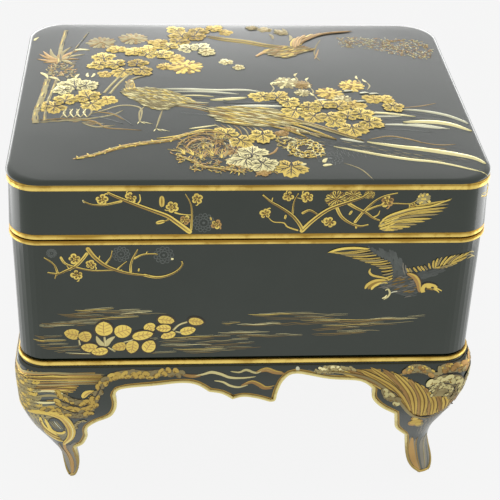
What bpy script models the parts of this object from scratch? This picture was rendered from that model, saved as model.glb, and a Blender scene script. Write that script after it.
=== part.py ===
"""A damascene footed box: a lift-off domed lid, a straight-sided box and a scalloped stand on four cabriole feet.

Metres, +Z up.  The origin is at the bottom centre, on the surface that the feet stand on.  X runs along the long
side, and the decorated front faces -Y.  Sizes below are in millimetres, and MM turns them into metres.
"""

import math

import bmesh
import bpy

MM = 0.001

# Overall plan, given by the outermost rim of the lid.
HALF_LENGTH = 62.5
HALF_DEPTH = 50.0
CORNER_RADIUS = 8.2
CORNER_STEPS = 8
GAP = 0.3
WALL = 1.6

# Heights of the joints between the pieces.
STAND_TOP = 49.5
BODY_BOTTOM = STAND_TOP + GAP
WIRE_HEIGHT = 1.3
BODY_RIM_BOTTOM = 88.3
BODY_RIM_HEIGHT = 1.25
LID_BOTTOM = BODY_RIM_BOTTOM + BODY_RIM_HEIGHT + GAP
LID_RIM_HEIGHT = 1.6
LID_TOP_RIM_BOTTOM = 103.75
LID_TOP_RIM_HEIGHT = 1.7
SHOULDER_HEIGHT = 107.0
DOME_RISE = 0.9

# Insets from the overall plan.
BODY_INSET = 0.8
WIRE_INSET = 0.3
RIM_INSET = 0.1
LID_WALL_INSET = 0.9
RIM_WIDTH = 1.3
WIRE_WIDTH = 1.0
SHOULDER_INSET = 3.0
PANEL_CORNER_RADIUS = 14.0

# The inner lip that the lid drops over.
LIP_INSET = 2.9
LIP_THICKNESS = 1.0
LIP_TOP = 92.4
LIP_BOTTOM = 85.0
LIP_TAPER = 2.0

# The stand.  Each knee row is (height, inset at the left, at the right, at the front and back, corner radius),
# measured inwards from the walls of the box, so a negative inset swells past them.
KNEE_ROWS = [
    (0.0, 11.2, 4.3, 9.2, 4.5),
    (4.0, 10.1, 4.6, 8.8, 4.5),
    (8.0, 9.2, 5.4, 8.2, 4.5),
    (12.0, 7.8, 6.1, 7.2, 4.6),
    (17.0, 5.0, 6.0, 5.4, 5.0),
    (22.0, 2.4, 4.7, 3.3, 5.6),
    (27.0, 0.5, 2.4, 1.3, 6.4),
    (32.0, -1.1, 0.3, -0.4, 7.1),
    (38.0, -1.5, -1.1, -1.3, 7.4),
    (44.0, -1.6, -1.6, -1.6, 7.4),
    (47.5, -1.3, -1.3, -1.3, 7.4),
    (STAND_TOP, -0.4, -0.4, -0.4, 7.4),
]
KNEE_STEP = 3.3
FLANGE_THICKNESS = 1.5
FLANGE_WIDTH = 7.0

# The scalloped lower edge of the front and back aprons, from the left foot to the right one.  Each stretch is a
# smooth curve through its points (distance along X, height), and stretches meet in a point.
FRONT_APRON = [
    [(-49.0, -1.0), (-48.3, 0.6), (-47.5, 3.0), (-47.4, 6.4), (-48.0, 14.8)],
    [(-48.0, 14.8), (-45.8, 16.6), (-44.4, 20.8), (-44.4, 24.0), (-43.9, 26.1)],
    [(-43.9, 26.1), (-41.5, 28.7), (-37.6, 31.2), (-36.0, 34.0), (-35.6, 37.0), (-36.0, 39.6)],
    [(-36.0, 39.6), (-34.2, 42.0), (-25.0, 43.1), (-17.6, 43.9), (-13.4, 43.1), (-10.1, 40.6)],
    [(-10.1, 40.6), (-6.6, 39.8), (-3.6, 37.7)],
    [(-3.6, 37.7), (-0.6, 38.6), (3.2, 37.9), (6.8, 36.5)],
    [(6.8, 36.5), (8.3, 37.0), (8.8, 40.1), (10.4, 44.5), (13.8, 46.5), (23.0, 44.6), (31.6, 43.7), (35.4, 40.8)],
    [(35.4, 40.8), (35.6, 37.2), (38.3, 33.7), (42.6, 30.6)],
    [(42.6, 30.6), (43.2, 26.8), (44.1, 22.8), (47.4, 18.8)],
    [(47.4, 18.8), (48.2, 13.6), (49.2, 8.4), (50.6, 3.6), (52.4, 0.8), (53.4, -1.0)],
]
# The left and right aprons from the toe of the front foot to the middle; the other half mirrors it.  The toe is
# narrower on the left side than on the right one.
LEFT_TOE = [(37.8, -1.0), (37.4, 0.4), (36.6, 1.6), (36.0, 4.6), (36.2, 9.0), (36.0, 15.0)]
RIGHT_TOE = [(39.6, -1.0), (39.0, 0.3), (37.6, 1.4), (36.2, 3.6), (35.8, 8.0), (36.0, 15.0)]
SIDE_APRON_HALF = [
    [(36.0, 15.0), (34.0, 17.0), (33.0, 20.8), (33.0, 24.0), (32.4, 26.1)],
    [(32.4, 26.1), (30.4, 28.7), (27.2, 31.2), (25.8, 34.0), (25.6, 37.0), (26.0, 39.6)],
    [(26.0, 39.6), (24.4, 42.0), (17.0, 43.2), (10.4, 43.4), (6.6, 40.6)],
    [(6.6, 40.6), (3.6, 39.8), (0.0, 37.0)],
]
CURVE_STEPS = 3
CUTTER_FLOOR = -4.0
CUTTER_REACH = 70.0

IRON = ("patinated_iron", (0.045, 0.055, 0.05, 1.0), 0.42, 0.9)
GILT = ("gilt", (0.72, 0.5, 0.16, 1.0), 0.3, 1.0)


def clear_scene():
    """Removes whatever the file holds, so that only the box is left."""
    for old in list(bpy.data.objects):
        bpy.data.objects.remove(old, do_unlink=True)


def material(spec):
    """A Principled material from (name, base colour, roughness, metallic)."""
    name, colour, roughness, metallic = spec
    made = bpy.data.materials.new(name)
    made.use_nodes = True
    shader = made.node_tree.nodes["Principled BSDF"]
    shader.inputs["Base Color"].default_value = colour
    shader.inputs["Roughness"].default_value = roughness
    shader.inputs["Metallic"].default_value = metallic
    return made


def rounded_ring(left, right, half_depth, radius, height):
    """The points of a rounded rectangle, anticlockwise from above, at one height or on a height function."""
    ring = []
    quarter = math.pi / 2
    corners = [(right, 1, 0), (-left, 1, 1), (-left, -1, 2), (right, -1, 3)]
    for side, toward, turn in corners:
        centre_x = side - math.copysign(radius, side)
        centre_y = toward * (half_depth - radius)
        for step in range(CORNER_STEPS + 1):
            angle = quarter * (turn + step / CORNER_STEPS)
            x = centre_x + radius * math.cos(angle)
            y = centre_y + radius * math.sin(angle)
            z = height(x, y) if callable(height) else height
            ring.append((x * MM, y * MM, z * MM))
    return ring


def inset_ring(inset, height, radius=None):
    """A rounded rectangle that lies `inset` inside the overall plan."""
    radius = radius or max(CORNER_RADIUS - inset, 0.6)
    return rounded_ring(HALF_LENGTH - inset, HALF_LENGTH - inset, HALF_DEPTH - inset, radius, height)


def solid_from_rings(name, rings, spec, closed=False):
    """Joins each ring to the next.  A closed solid joins the last ring to the first, and another one is capped."""
    mesh = bmesh.new()
    loops = [[mesh.verts.new(point) for point in ring] for ring in rings]
    count = len(loops[0])
    pairs = list(zip(loops, loops[1:]))
    if closed:
        pairs.append((loops[-1], loops[0]))
    for lower, upper in pairs:
        for i in range(count):
            j = (i + 1) % count
            mesh.faces.new((lower[i], lower[j], upper[j], upper[i]))
    if not closed:
        mesh.faces.new(list(reversed(loops[0])))
        mesh.faces.new(loops[-1])
    bmesh.ops.recalc_face_normals(mesh, faces=mesh.faces)
    data = bpy.data.meshes.new(name)
    mesh.to_mesh(data)
    mesh.free()
    data.materials.append(material(spec))
    data.shade_smooth()
    data.set_sharp_from_angle(angle=math.radians(35))
    made = bpy.data.objects.new(name, data)
    bpy.context.collection.objects.link(made)
    return made


def rim(name, inset, bottom, height, width):
    """A half-round gilt band that runs round the box, its flat back towards the wall."""
    bulge = height / 2
    outline = [(inset + width, bottom), (inset + width, bottom + height)]
    for step in range(5):
        angle = math.pi * (0.5 - step / 4)
        outline.append((inset + 0.35 * (1 - math.cos(angle)), bottom + bulge + bulge * math.sin(angle)))
    return solid_from_rings(name, [inset_ring(i, z) for i, z in outline], GILT, closed=True)


def dome_height(x, y):
    """Height of the lid's panel above the shoulder, highest in the middle and level with the shoulder at its edge."""
    across = 1 - (x / (HALF_LENGTH - SHOULDER_INSET)) ** 2
    along = 1 - (y / (HALF_DEPTH - SHOULDER_INSET)) ** 2
    return SHOULDER_HEIGHT + DOME_RISE * max(across, 0.0) * max(along, 0.0)


def build_lid():
    """The lid's shell: a straight wall, a rounded shoulder and a softly domed panel, hollow below."""
    rebate = RIM_WIDTH + GAP
    inner = LID_WALL_INSET + WALL
    ceiling = SHOULDER_HEIGHT - WALL - 0.4
    shoulder_foot = LID_TOP_RIM_BOTTOM + LID_TOP_RIM_HEIGHT + 0.1
    wall_bottom = LID_BOTTOM + LID_RIM_HEIGHT + GAP
    wall_top = LID_TOP_RIM_BOTTOM - GAP
    rings = [inset_ring(inner + 1.0, ceiling), inset_ring(inner, ceiling - 1.0), inset_ring(inner, LID_BOTTOM)]
    outline = [
        (rebate + RIM_INSET, LID_BOTTOM),
        (rebate + RIM_INSET, wall_bottom),
        (LID_WALL_INSET, wall_bottom),
        (LID_WALL_INSET, wall_top),
        (rebate, wall_top),
    ]
    rings += [inset_ring(inset, height) for inset, height in outline]
    for step in range(5):
        angle = math.pi / 2 * step / 4
        inset = SHOULDER_INSET - (SHOULDER_INSET - rebate) * math.cos(angle)
        height = shoulder_foot + (SHOULDER_HEIGHT - shoulder_foot) * math.sin(angle)
        spread = (inset - rebate) / (SHOULDER_INSET - rebate)
        radius = CORNER_RADIUS - rebate + spread * (PANEL_CORNER_RADIUS - CORNER_RADIUS + rebate)
        rings.append(inset_ring(inset, height, radius))
    for share in (0.92, 0.75, 0.5):
        length = (HALF_LENGTH - SHOULDER_INSET) * share
        depth = (HALF_DEPTH - SHOULDER_INSET) * share
        radius = PANEL_CORNER_RADIUS * share
        rings.append(rounded_ring(length, length, depth, radius, dome_height))
    return solid_from_rings("lid", rings, IRON)


def build_body():
    """The box: straight walls on a flat floor, with a rebate for each gilt band and a lip inside the lid."""
    inner = BODY_INSET + WALL
    floor = BODY_BOTTOM + WALL
    wire_rebate = WIRE_INSET + WIRE_WIDTH + GAP
    rim_rebate = RIM_INSET + RIM_WIDTH + GAP
    rim_seat = BODY_RIM_BOTTOM - GAP
    outline = [
        (wire_rebate, BODY_BOTTOM),
        (wire_rebate, BODY_BOTTOM + WIRE_HEIGHT + GAP),
        (BODY_INSET, BODY_BOTTOM + WIRE_HEIGHT + GAP),
        (BODY_INSET, rim_seat),
        (rim_rebate, rim_seat),
        (rim_rebate, BODY_RIM_BOTTOM + BODY_RIM_HEIGHT),
        (LIP_INSET, BODY_RIM_BOTTOM + BODY_RIM_HEIGHT),
        (LIP_INSET, LIP_TOP),
        (LIP_INSET + LIP_THICKNESS, LIP_TOP),
        (LIP_INSET + LIP_THICKNESS, LIP_BOTTOM),
        (inner, LIP_BOTTOM - LIP_TAPER),
        (inner, floor + 1.0),
        (inner + 1.0, floor),
    ]
    return solid_from_rings("body", [inset_ring(i, z) for i, z in outline], IRON)


def smooth_curve(points):
    """Points along a Catmull-Rom curve through `points`, the first one left out."""
    padded = [points[0]] + points + [points[-1]]
    curve = []
    for i in range(1, len(padded) - 2):
        p0, p1, p2, p3 = padded[i - 1 : i + 3]
        for step in range(1, CURVE_STEPS + 1):
            t = step / CURVE_STEPS
            curve.append(
                tuple(
                    0.5 * (2 * b + (c - a) * t + (2 * a - 5 * b + 4 * c - d) * t**2 + (3 * b - a - 3 * c + d) * t**3)
                    for a, b, c, d in zip(p0, p1, p2, p3)
                )
            )
    return curve


def apron_outline(stretches):
    """The whole lower edge, closed below the feet."""
    outline = [stretches[0][0]]
    for stretch in stretches:
        outline += smooth_curve(stretch)
    outline.append((outline[-1][0], CUTTER_FLOOR))
    outline.append((outline[0][0], CUTTER_FLOOR))
    return outline


def apron_cutter(name, stretches, ends, along_x):
    """A prism below the apron's edge that runs through the stand from one end to the other, along Y or along X."""
    rings = []
    for end in ends:
        outline = apron_outline(stretches)
        if along_x:
            rings.append([(end * MM, across * MM, z * MM) for across, z in outline])
        else:
            rings.append([(across * MM, end * MM, z * MM) for across, z in outline])
    return solid_from_rings(name, rings, IRON)


def knee_at(height):
    """The knee row at any height, by smooth interpolation between the rows."""
    rows = KNEE_ROWS
    k = max(i for i in range(len(rows) - 1) if rows[i][0] <= height or i == 0)
    t = (height - rows[k][0]) / (rows[k + 1][0] - rows[k][0])
    span = rows[k + 1][0] - rows[k][0]
    values = []
    for column in range(1, 5):
        slopes = []
        for i in (k, k + 1):
            low = max(i - 1, 0)
            high = min(i + 1, len(rows) - 1)
            slopes.append((rows[high][column] - rows[low][column]) / (rows[high][0] - rows[low][0]))
        a, b = rows[k][column], rows[k + 1][column]
        values.append(
            (2 * t**3 - 3 * t**2 + 1) * a
            + (t**3 - 2 * t**2 + t) * span * slopes[0]
            + (3 * t**2 - 2 * t**3) * b
            + (t**3 - t**2) * span * slopes[1]
        )
    return values


def knee_ring(height, inwards, at_height=None):
    """The stand's outline at one height, moved inwards by a wall or left as the outer face."""
    left, right, depth, radius = knee_at(height)
    half = HALF_LENGTH - BODY_INSET - inwards
    z = height if at_height is None else at_height
    return rounded_ring(half - left, half - right, HALF_DEPTH - BODY_INSET - inwards - depth, radius - inwards, z)


def build_stand():
    """The stand: a bowed apron on four cabriole feet, with a flange at the top that carries the box."""
    levels = [KNEE_STEP * i for i in range(int(STAND_TOP / KNEE_STEP) + 1)] + [STAND_TOP]
    stand = solid_from_rings("stand", [knee_ring(z, 0.0) for z in levels], IRON)

    under_flange = STAND_TOP - FLANGE_THICKNESS
    hollow_levels = [z for z in levels if z < under_flange - 1.0]
    hollow_rings = [knee_ring(0.0, WALL, at_height=CUTTER_FLOOR)]
    hollow_rings += [knee_ring(z, WALL) for z in hollow_levels]
    hollow_rings.append(knee_ring(under_flange, WALL))
    hollow = solid_from_rings("hollow_cutter", hollow_rings, IRON)

    opening = BODY_INSET + FLANGE_WIDTH
    opening_rings = [inset_ring(opening, under_flange - 2.0), inset_ring(opening, STAND_TOP + 2.0)]
    well = solid_from_rings("well_cutter", opening_rings, IRON)

    through = (-CUTTER_REACH, CUTTER_REACH)
    cutters = [hollow, well, apron_cutter("front_apron_cutter", FRONT_APRON, through, along_x=False)]
    for name, toe, reach in (("left", LEFT_TOE, -CUTTER_REACH), ("right", RIGHT_TOE, CUTTER_REACH)):
        near_half = [toe] + SIDE_APRON_HALF
        far_half = [[(-across, z) for across, z in reversed(stretch)] for stretch in reversed(near_half)]
        cutters.append(apron_cutter(name + "_apron_cutter", near_half + far_half, (0.0, reach), along_x=True))
    for cutter in cutters:
        cutter.hide_render = True
        cutter.display_type = "WIRE"
        cut = stand.modifiers.new(cutter.name, "BOOLEAN")
        cut.operation = "DIFFERENCE"
        cut.object = cutter
    return stand


def main():
    """Builds every piece in its place."""
    clear_scene()
    build_stand()
    rim("stand_wire", WIRE_INSET, BODY_BOTTOM, WIRE_HEIGHT, WIRE_WIDTH)
    build_body()
    rim("body_rim", RIM_INSET, BODY_RIM_BOTTOM, BODY_RIM_HEIGHT, RIM_WIDTH)
    rim("lid_base_rim", RIM_INSET, LID_BOTTOM, LID_RIM_HEIGHT, RIM_WIDTH)
    build_lid()
    rim("lid_top_rim", 0.0, LID_TOP_RIM_BOTTOM, LID_TOP_RIM_HEIGHT, RIM_WIDTH)


main()
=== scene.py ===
"""Looks of a damascened footed box: patinated iron inlaid with gold and silver, gilt rims, a scalloped stand.

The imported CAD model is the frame.  Lengths are in millimetres unless a comment says otherwise, and MM turns
them into metres.  The decorated front faces -Y, and every surface that carries inlay is addressed by two
lengths: one along it and one up or across it.
"""

from __future__ import annotations

import logging
import math
import random
from collections.abc import Callable, Sequence
from dataclasses import dataclass, field
from enum import Enum

import bpy
from mathutils import Matrix, Vector
from mathutils.geometry import delaunay_2d_cdt

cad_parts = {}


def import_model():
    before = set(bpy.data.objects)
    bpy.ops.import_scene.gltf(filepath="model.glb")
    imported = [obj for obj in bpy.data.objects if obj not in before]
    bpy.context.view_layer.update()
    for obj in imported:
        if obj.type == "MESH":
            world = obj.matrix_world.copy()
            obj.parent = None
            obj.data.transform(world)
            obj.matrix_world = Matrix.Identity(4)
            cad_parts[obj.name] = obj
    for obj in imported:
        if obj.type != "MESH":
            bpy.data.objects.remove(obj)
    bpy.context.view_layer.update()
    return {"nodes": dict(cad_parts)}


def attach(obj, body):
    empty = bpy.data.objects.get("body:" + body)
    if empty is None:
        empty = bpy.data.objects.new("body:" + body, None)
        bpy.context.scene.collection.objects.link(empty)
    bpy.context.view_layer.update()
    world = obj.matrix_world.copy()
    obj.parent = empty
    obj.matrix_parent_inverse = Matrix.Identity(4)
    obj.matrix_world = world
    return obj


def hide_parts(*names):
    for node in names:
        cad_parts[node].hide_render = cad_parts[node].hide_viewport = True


MM = 0.001  # metres in a millimetre
LEVEL = 0.014  # how far one layer of inlay stands above the one below it
SUNK = 0.01  # how deep the edge of a strip lies under its layer
CORNER_STEPS = 16  # stretches in each round corner of the plan
GRAIN_DEPTH = 0.00005  # of the metals' fine grain, in metres
COAT_ROUGHNESS = 0.12
CLOUD_EDGE = 0.1  # half the width of the change from clean to dull metal, in the noise's own range
TONED_SHARE = 0.45  # how much of the cloudiness is left under the tones of laid strips
BODY = "root"
LOG = logging.getLogger("box")

Point = tuple[float, float]
Path = Sequence[Point]
Row = tuple[float, ...]
Rows = Sequence[Row]
Strokes = Sequence[tuple[float, Path]]
Node = bpy.types.Node
Socket = bpy.types.NodeSocket
Piece = bpy.types.Object


class Metal(Enum):
    """The metals and lines that are laid on the iron, by the names of their pieces."""

    GOLD = "gold"
    PALE = "pale_gold"
    COPPER = "copper_gold"
    BRONZE = "brown_gold"
    SILVER = "silver"
    OLIVE = "green_gold"
    TARNISH = "tarnished_silver"
    WORN = "worn"
    LINE = "engraved_line"


class Taper(Enum):
    """How the width of a laid strip runs from its first point to its last."""

    EVEN = "even"
    TWIG = "twig"
    REED = "reed"
    LEAF = "leaf"
    PETAL = "petal"
    ROUND = "round"
    FEATHER = "feather"


GOLD, PALE, COPPER, BRONZE, SILVER, OLIVE, TARNISH, WORN, LINE = Metal
EVEN, TWIG, REED, LEAF, PETAL, ROUND, FEATHER = Taper
Metals = Sequence[Metal]


def taper_width(taper: Taper, share: float) -> float:
    """Width of a strip, as a share of its full width, at a share of its length."""
    bow = math.sin(math.pi * min(max(share, 0), 1))
    if taper is EVEN:
        return 1
    if taper is TWIG:
        return 1 - 0.6 * share
    if taper is REED:
        return 0.12 + 0.88 * bow**0.6
    if taper is LEAF:
        return max(math.sin(math.pi * share**0.75), 0) ** 0.85
    if taper is PETAL:
        return 0.25 + 0.75 * math.sin(math.pi * min(share**1.5, 1)) ** 0.7 if share < 1 else 0.1
    if taper is FEATHER:
        return min(1, 0.5 + 1.6 * share) * max(1 - share**5, 0) ** 0.5
    return max(1 - (2 * share - 1) ** 2, 0) ** 0.5


def smooth_path(points: Path, steps: int) -> list[Point]:
    """A Catmull-Rom curve through points, with a number of stretches between one and the next."""
    padded = [points[0], *points, points[-1]]
    curve = [tuple(points[0])]
    for four in zip(padded, padded[1:], padded[2:], padded[3:]):
        for t in (step / steps for step in range(1, steps + 1)):
            curve.append(
                tuple(
                    0.5 * (
                        2 * q + (r - p) * t + (2 * p - 5 * q + 4 * r - s) * t * t
                        + (3 * q - p - 3 * r + s) * t**3
                    )
                    for p, q, r, s in zip(*four)
                )
            )
    return curve


def turned(centre: Point, distance: float, angle: float) -> Point:
    """The point at a distance from centre, in the direction of an angle in degrees."""
    turn = math.radians(angle)
    return centre[0] + distance * math.cos(turn), centre[1] + distance * math.sin(turn)


def moved(path: Path, right: float, up: float) -> list[Point]:
    """A path moved to the right and up."""
    return [(x + right, y + up) for x, y in path]


def heading(path: Path, i: int) -> Point:
    """The direction of a path at one of its points, as a pair of length 1."""
    before, after = path[max(i - 1, 0)], path[min(i + 1, len(path) - 1)]
    dx, dy = after[0] - before[0], after[1] - before[1]
    size = math.hypot(dx, dy) or 1
    return dx / size, dy / size


def crossings(path: Path, level: float) -> list[float]:
    """Where a path crosses a level, from left to right."""
    return sorted(
        ax + (level - ay) / (by - ay) * (bx - ax)
        for (ax, ay), (bx, by) in zip(path, path[1:])
        if (ay > level) != (by > level)
    )


def inside(spot: Point, outline: Path) -> bool:
    """Whether a point lies inside a closed outline."""
    return sum(spot[0] < x for x in crossings([*outline, outline[0]], spot[1])) % 2 == 1


# --------------------------------------------------------------------------------------------------- surfaces


class Surface:
    """A surface addressed by a length along it and a length up or across it."""

    def point(self, along: float, up: float) -> Vector:
        """The place of (along, up) on the surface, in metres."""
        raise NotImplementedError

    def normal(self, along: float, up: float) -> Vector:
        """The outward direction at (along, up)."""
        reach = 0.05
        right = self.point(along + reach, up) - self.point(along - reach, up)
        upward = self.point(along, up + reach) - self.point(along, up - reach)
        return right.cross(upward).normalized()

    def raised(self, along: float, up: float, height: float) -> Vector:
        """The point that stands height above (along, up)."""
        return self.point(along, up) + self.normal(along, up) * (height * MM)


@dataclass
class WallSurface(Surface):
    """Four walls with round corners, unrolled from the middle of the front; along grows to the right.

    Walls may lean in: at a height above foot their inset is lean times that height.
    """

    half_length: float
    half_depth: float
    radius: float
    foot: float = 0
    lean: float = 0

    def __post_init__(self) -> None:
        """Keeps the half lengths of the flat stretches and the corner radius that lengths are counted by."""
        self.nominal = (self.half_length - self.radius, self.half_depth - self.radius, self.radius)

    def flats(self, up: float, side: int) -> tuple[float, float, float]:
        """(half length, half depth, corner radius) of the flat stretches on one side at a height."""
        flat_x, flat_y, radius = self.nominal
        return flat_x, flat_y, radius - self.lean * (up - self.foot)

    def side_middle(self) -> float:
        """The length from the front's middle to the middle of the right side."""
        base_x, base_y, base_radius = self.nominal
        return base_x + base_radius * math.pi / 2 + base_y

    def back_middle(self) -> float:
        """The length from the front's middle to the back's middle."""
        return 2 * self.side_middle()

    def point(self, along: float, up: float) -> Vector:
        """The place on the wall at a length from the front's middle and a height above the ground."""
        if abs(along) > self.back_middle():
            along -= math.copysign(2 * self.back_middle(), along)
        side = 1 if along >= 0 else -1
        flat_x, flat_y, radius = self.flats(up, side)
        base_x, base_y, base_radius = self.nominal
        rest, middle = abs(along), self.side_middle()
        front = -1
        if rest > middle:
            rest, front = 2 * middle - rest, 1
        turn = (rest - base_x) / base_radius
        if turn <= 0:
            x, y = rest * flat_x / base_x, flat_y + radius
        elif turn <= math.pi / 2:
            x, y = flat_x + radius * math.sin(turn), flat_y + radius * math.cos(turn)
        else:
            x, y = flat_x + radius, (middle - rest) / base_y * flat_y
        return Vector((side * x, front * y, up)) * MM


@dataclass
class PanelSurface(Surface):
    """The lid's domed panel with its rounded shoulder, addressed by X and Y."""

    half_length: float
    half_depth: float
    foot_height: float
    shoulder_height: float
    foot_inset: float = 0.2
    shoulder_inset: float = 1.5
    foot_radius: float = 9.6
    plateau_radius: float = 10.6
    dome_rise: float = 1.15

    def ring(self, share: float) -> Point:
        """(inset, corner radius) at a share of the way from the shoulder's foot to the plateau."""
        inset = self.foot_inset + share * (self.shoulder_inset - self.foot_inset)
        return inset, self.foot_radius + share * (self.plateau_radius - self.foot_radius)

    def _outside(self, x: float, y: float, share: float) -> float:
        """Distance of a place outside the outline at that share; negative inside it."""
        inset, radius = self.ring(share)
        over_x = abs(x) - (self.half_length - inset - radius)
        over_y = abs(y) - (self.half_depth - inset - radius)
        return (max(over_x, over_y) if min(over_x, over_y) <= 0 else math.hypot(over_x, over_y)) - radius

    def share_at(self, x: float, y: float) -> float:
        """How far up the shoulder a place lies: 0 at its foot, 1 on the plateau."""
        low, high = 0, 1
        if self._outside(x, y, 1) <= 0:
            return 1
        for _ in range(12):
            middle = (low + high) / 2
            low, high = (low, middle) if self._outside(x, y, middle) > 0 else (middle, high)
        return low

    def height(self, x: float, y: float) -> float:
        """Height of the panel at a place, above the ground."""
        across = max(1 - (x / (self.half_length - self.shoulder_inset)) ** 2, 0)
        along = max(1 - (y / (self.half_depth - self.shoulder_inset)) ** 2, 0)
        climb = math.sqrt(max(1 - (1 - self.share_at(x, y)) ** 2, 0))
        rise = self.shoulder_height - self.foot_height
        return self.foot_height + rise * climb + self.dome_rise * across * along

    def point(self, along: float, up: float) -> Vector:
        """The place on the panel at X = along and Y = up."""
        return Vector((along, up, self.height(along, up))) * MM


@dataclass
class KneeSurface(WallSurface):
    """The outer face of the stand: an apron that swells past the walls and draws in to four feet.

    Each row is (height, inset at the left, at the right, at the front and back, corner radius), measured from
    the walls of the box.  Along runs from the middle of the front, and stays true to X near the knees.
    """

    rows: tuple[Row, ...] = (
        (0, 10.2, 3.2, 9.2, 4.5), (4, 9.8, 4.1, 8.8, 4.5), (8, 9.2, 5.2, 8.2, 4.5), (12, 7.9, 6.1, 7.2, 4.6),
        (17, 5.4, 6.3, 5.4, 5), (22, 2.8, 5.5, 3.3, 5.6), (27, 0.7, 3.3, 1.3, 6.4), (32, -0.9, 1, -0.4, 7.1),
        (38, -1.4, -0.8, -1.3, 7.4), (44, -1.6, -1.6, -1.6, 7.4), (46.9, -1.4, -1.4, -1.4, 7.4),
        (48.8, -0.6, -0.6, -0.6, 7.4),
    )
    table_step: float = 0.25
    widest: float = 44
    table: list[Row] = field(default_factory=list)

    def __post_init__(self) -> None:
        """Works the rows out at every quarter of a millimetre, and the nominal lengths of each stretch."""
        count = int(self.rows[-1][0] / self.table_step) + 1
        self.table = [self._row(i * self.table_step) for i in range(count + 1)]
        self.nominal = self.flats(self.widest, 1)

    def _row(self, height: float) -> Row:
        """The insets and radius at a height, by cubic interpolation between the rows."""
        rows = self.rows
        height = min(max(height, rows[0][0]), rows[-1][0])
        k = max((i for i in range(len(rows) - 1) if rows[i][0] <= height), default=0)
        span = rows[k + 1][0] - rows[k][0]
        t = (height - rows[k][0]) / span
        around = [(rows[max(i - 1, 0)], rows[min(i + 1, len(rows) - 1)]) for i in (k, k + 1)]
        values = []
        for column in range(1, 5):
            first, last = ((high[column] - low[column]) / (high[0] - low[0]) for low, high in around)
            bend = (t**3 - 2 * t**2 + t) * first + (t**3 - t**2) * last
            ease = 3 * t**2 - 2 * t**3
            values.append((1 - ease) * rows[k][column] + ease * rows[k + 1][column] + bend * span)
        return tuple(values)

    def flats(self, up: float, side: int) -> tuple[float, float, float]:
        """(flat half length, flat half depth, corner radius) on one side of the stand at a height."""
        place = min(max(up, 0), self.rows[-1][0]) / self.table_step
        i = min(int(place), len(self.table) - 2)
        t = place - i
        left, right, depth, radius = (a + (b - a) * t for a, b in zip(self.table[i], self.table[i + 1]))
        inset = right if side > 0 else left
        return self.half_length - inset - radius, self.half_depth - depth - radius, radius

    def _from_middle(self, place: float, flat: float, base: float, radius: float) -> float:
        """The nominal length from the middle of a face to a place that is seen straight on."""
        if abs(place) <= flat:
            return abs(place) / flat * base
        return base + self.nominal[2] * math.asin(min((abs(place) - flat) / radius, 1))

    def from_front(self, x: float, up: float, back: bool = False) -> Point:
        """The (along, up) of a place on the front or back that is seen at X = x."""
        side = 1 if x >= 0 else -1
        flat, _, radius = self.flats(up, side)
        along = self._from_middle(x, flat, self.nominal[0], radius)
        return side * (self.back_middle() - along if back else along), up

    def from_side(self, y: float, up: float, side: int) -> Point:
        """The (along, up) of a place on the left (-1) or right (1) side that is seen at Y = y."""
        _, flat, radius = self.flats(up, side)
        across = self._from_middle(y, flat, self.nominal[1], radius)
        return side * (self.side_middle() + math.copysign(across, y)), up


# -------------------------------------------------------------------------------------------------- materials


@dataclass
class NodeSheet:
    """Adds and joins nodes in one node tree."""

    tree: bpy.types.NodeTree

    def add(self, kind: str, inputs: dict[str, object] | None = None, **settings: object) -> Node:
        """Adds a node of a type, with constants for its inputs and values for its settings."""
        node = self.tree.nodes.new(kind)
        for name, value in settings.items():
            setattr(node, name, value)
        for name, value in (inputs or {}).items():
            node.inputs[name].default_value = value
        return node

    def link(self, source: Socket, target: Socket) -> None:
        """Joins two sockets."""
        self.tree.links.new(source, target)

    def ranged(self, value: Socket, low: float, high: float, to_low: float, to_high: float) -> Socket:
        """A value mapped from one range to another and clamped."""
        limits = {"From Min": low, "From Max": high, "To Min": to_low, "To Max": to_high}
        node = self.add("ShaderNodeMapRange", limits)
        self.link(value, node.inputs["Value"])
        return node.outputs["Result"]

    def mixed(self, factor: Socket, first: object, second: object) -> Socket:
        """A colour between two, each a colour or a socket."""
        node = self.add("ShaderNodeMix", data_type="RGBA")
        self.link(factor, node.inputs["Factor"])
        for name, value in (("A", first), ("B", second)):
            target = next(s for s in node.inputs if s.name == name and s.type == "RGBA")
            if isinstance(value, Socket):
                self.link(value, target)
            else:
                target.default_value = (*value, 1)
        return next(s for s in node.outputs if s.type == "RGBA")


def wear_group() -> bpy.types.NodeTree:
    """The shared shader group for handled metal: a broad cloudiness, a fine grain and scattered specks.

    Returns:
        A node group with inputs Cloud Scale, Grain Scale and Speck Scale, and outputs Cloud, Grain and Speck.
    """
    name = "handled_metal"
    if name in bpy.data.node_groups:
        return bpy.data.node_groups[name]
    group = bpy.data.node_groups.new(name, "ShaderNodeTree")
    for label, value in (("Cloud", 60), ("Grain", 2500), ("Speck", 700)):
        made = group.interface.new_socket(f"{label} Scale", in_out="INPUT", socket_type="NodeSocketFloat")
        made.default_value = value
        group.interface.new_socket(label, in_out="OUTPUT", socket_type="NodeSocketFloat")
    sheet = NodeSheet(group)
    start, end = sheet.add("NodeGroupInput"), sheet.add("NodeGroupOutput")
    place = sheet.add("ShaderNodeTexCoord").outputs["Object"]
    for label, detail in (("Cloud", 4), ("Grain", 3)):
        noise = sheet.add("ShaderNodeTexNoise", {"Detail": detail, "Roughness": 0.6})
        sheet.link(place, noise.inputs["Vector"])
        sheet.link(start.outputs[label + " Scale"], noise.inputs["Scale"])
        sheet.link(noise.outputs["Fac"], end.inputs[label])
    spots = sheet.add("ShaderNodeTexVoronoi")
    sheet.link(place, spots.inputs["Vector"])
    sheet.link(start.outputs["Speck Scale"], spots.inputs["Scale"])
    sheet.link(sheet.ranged(spots.outputs["Distance"], 0.04, 0.14, 1, 0), end.inputs["Speck"])
    return group


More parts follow.
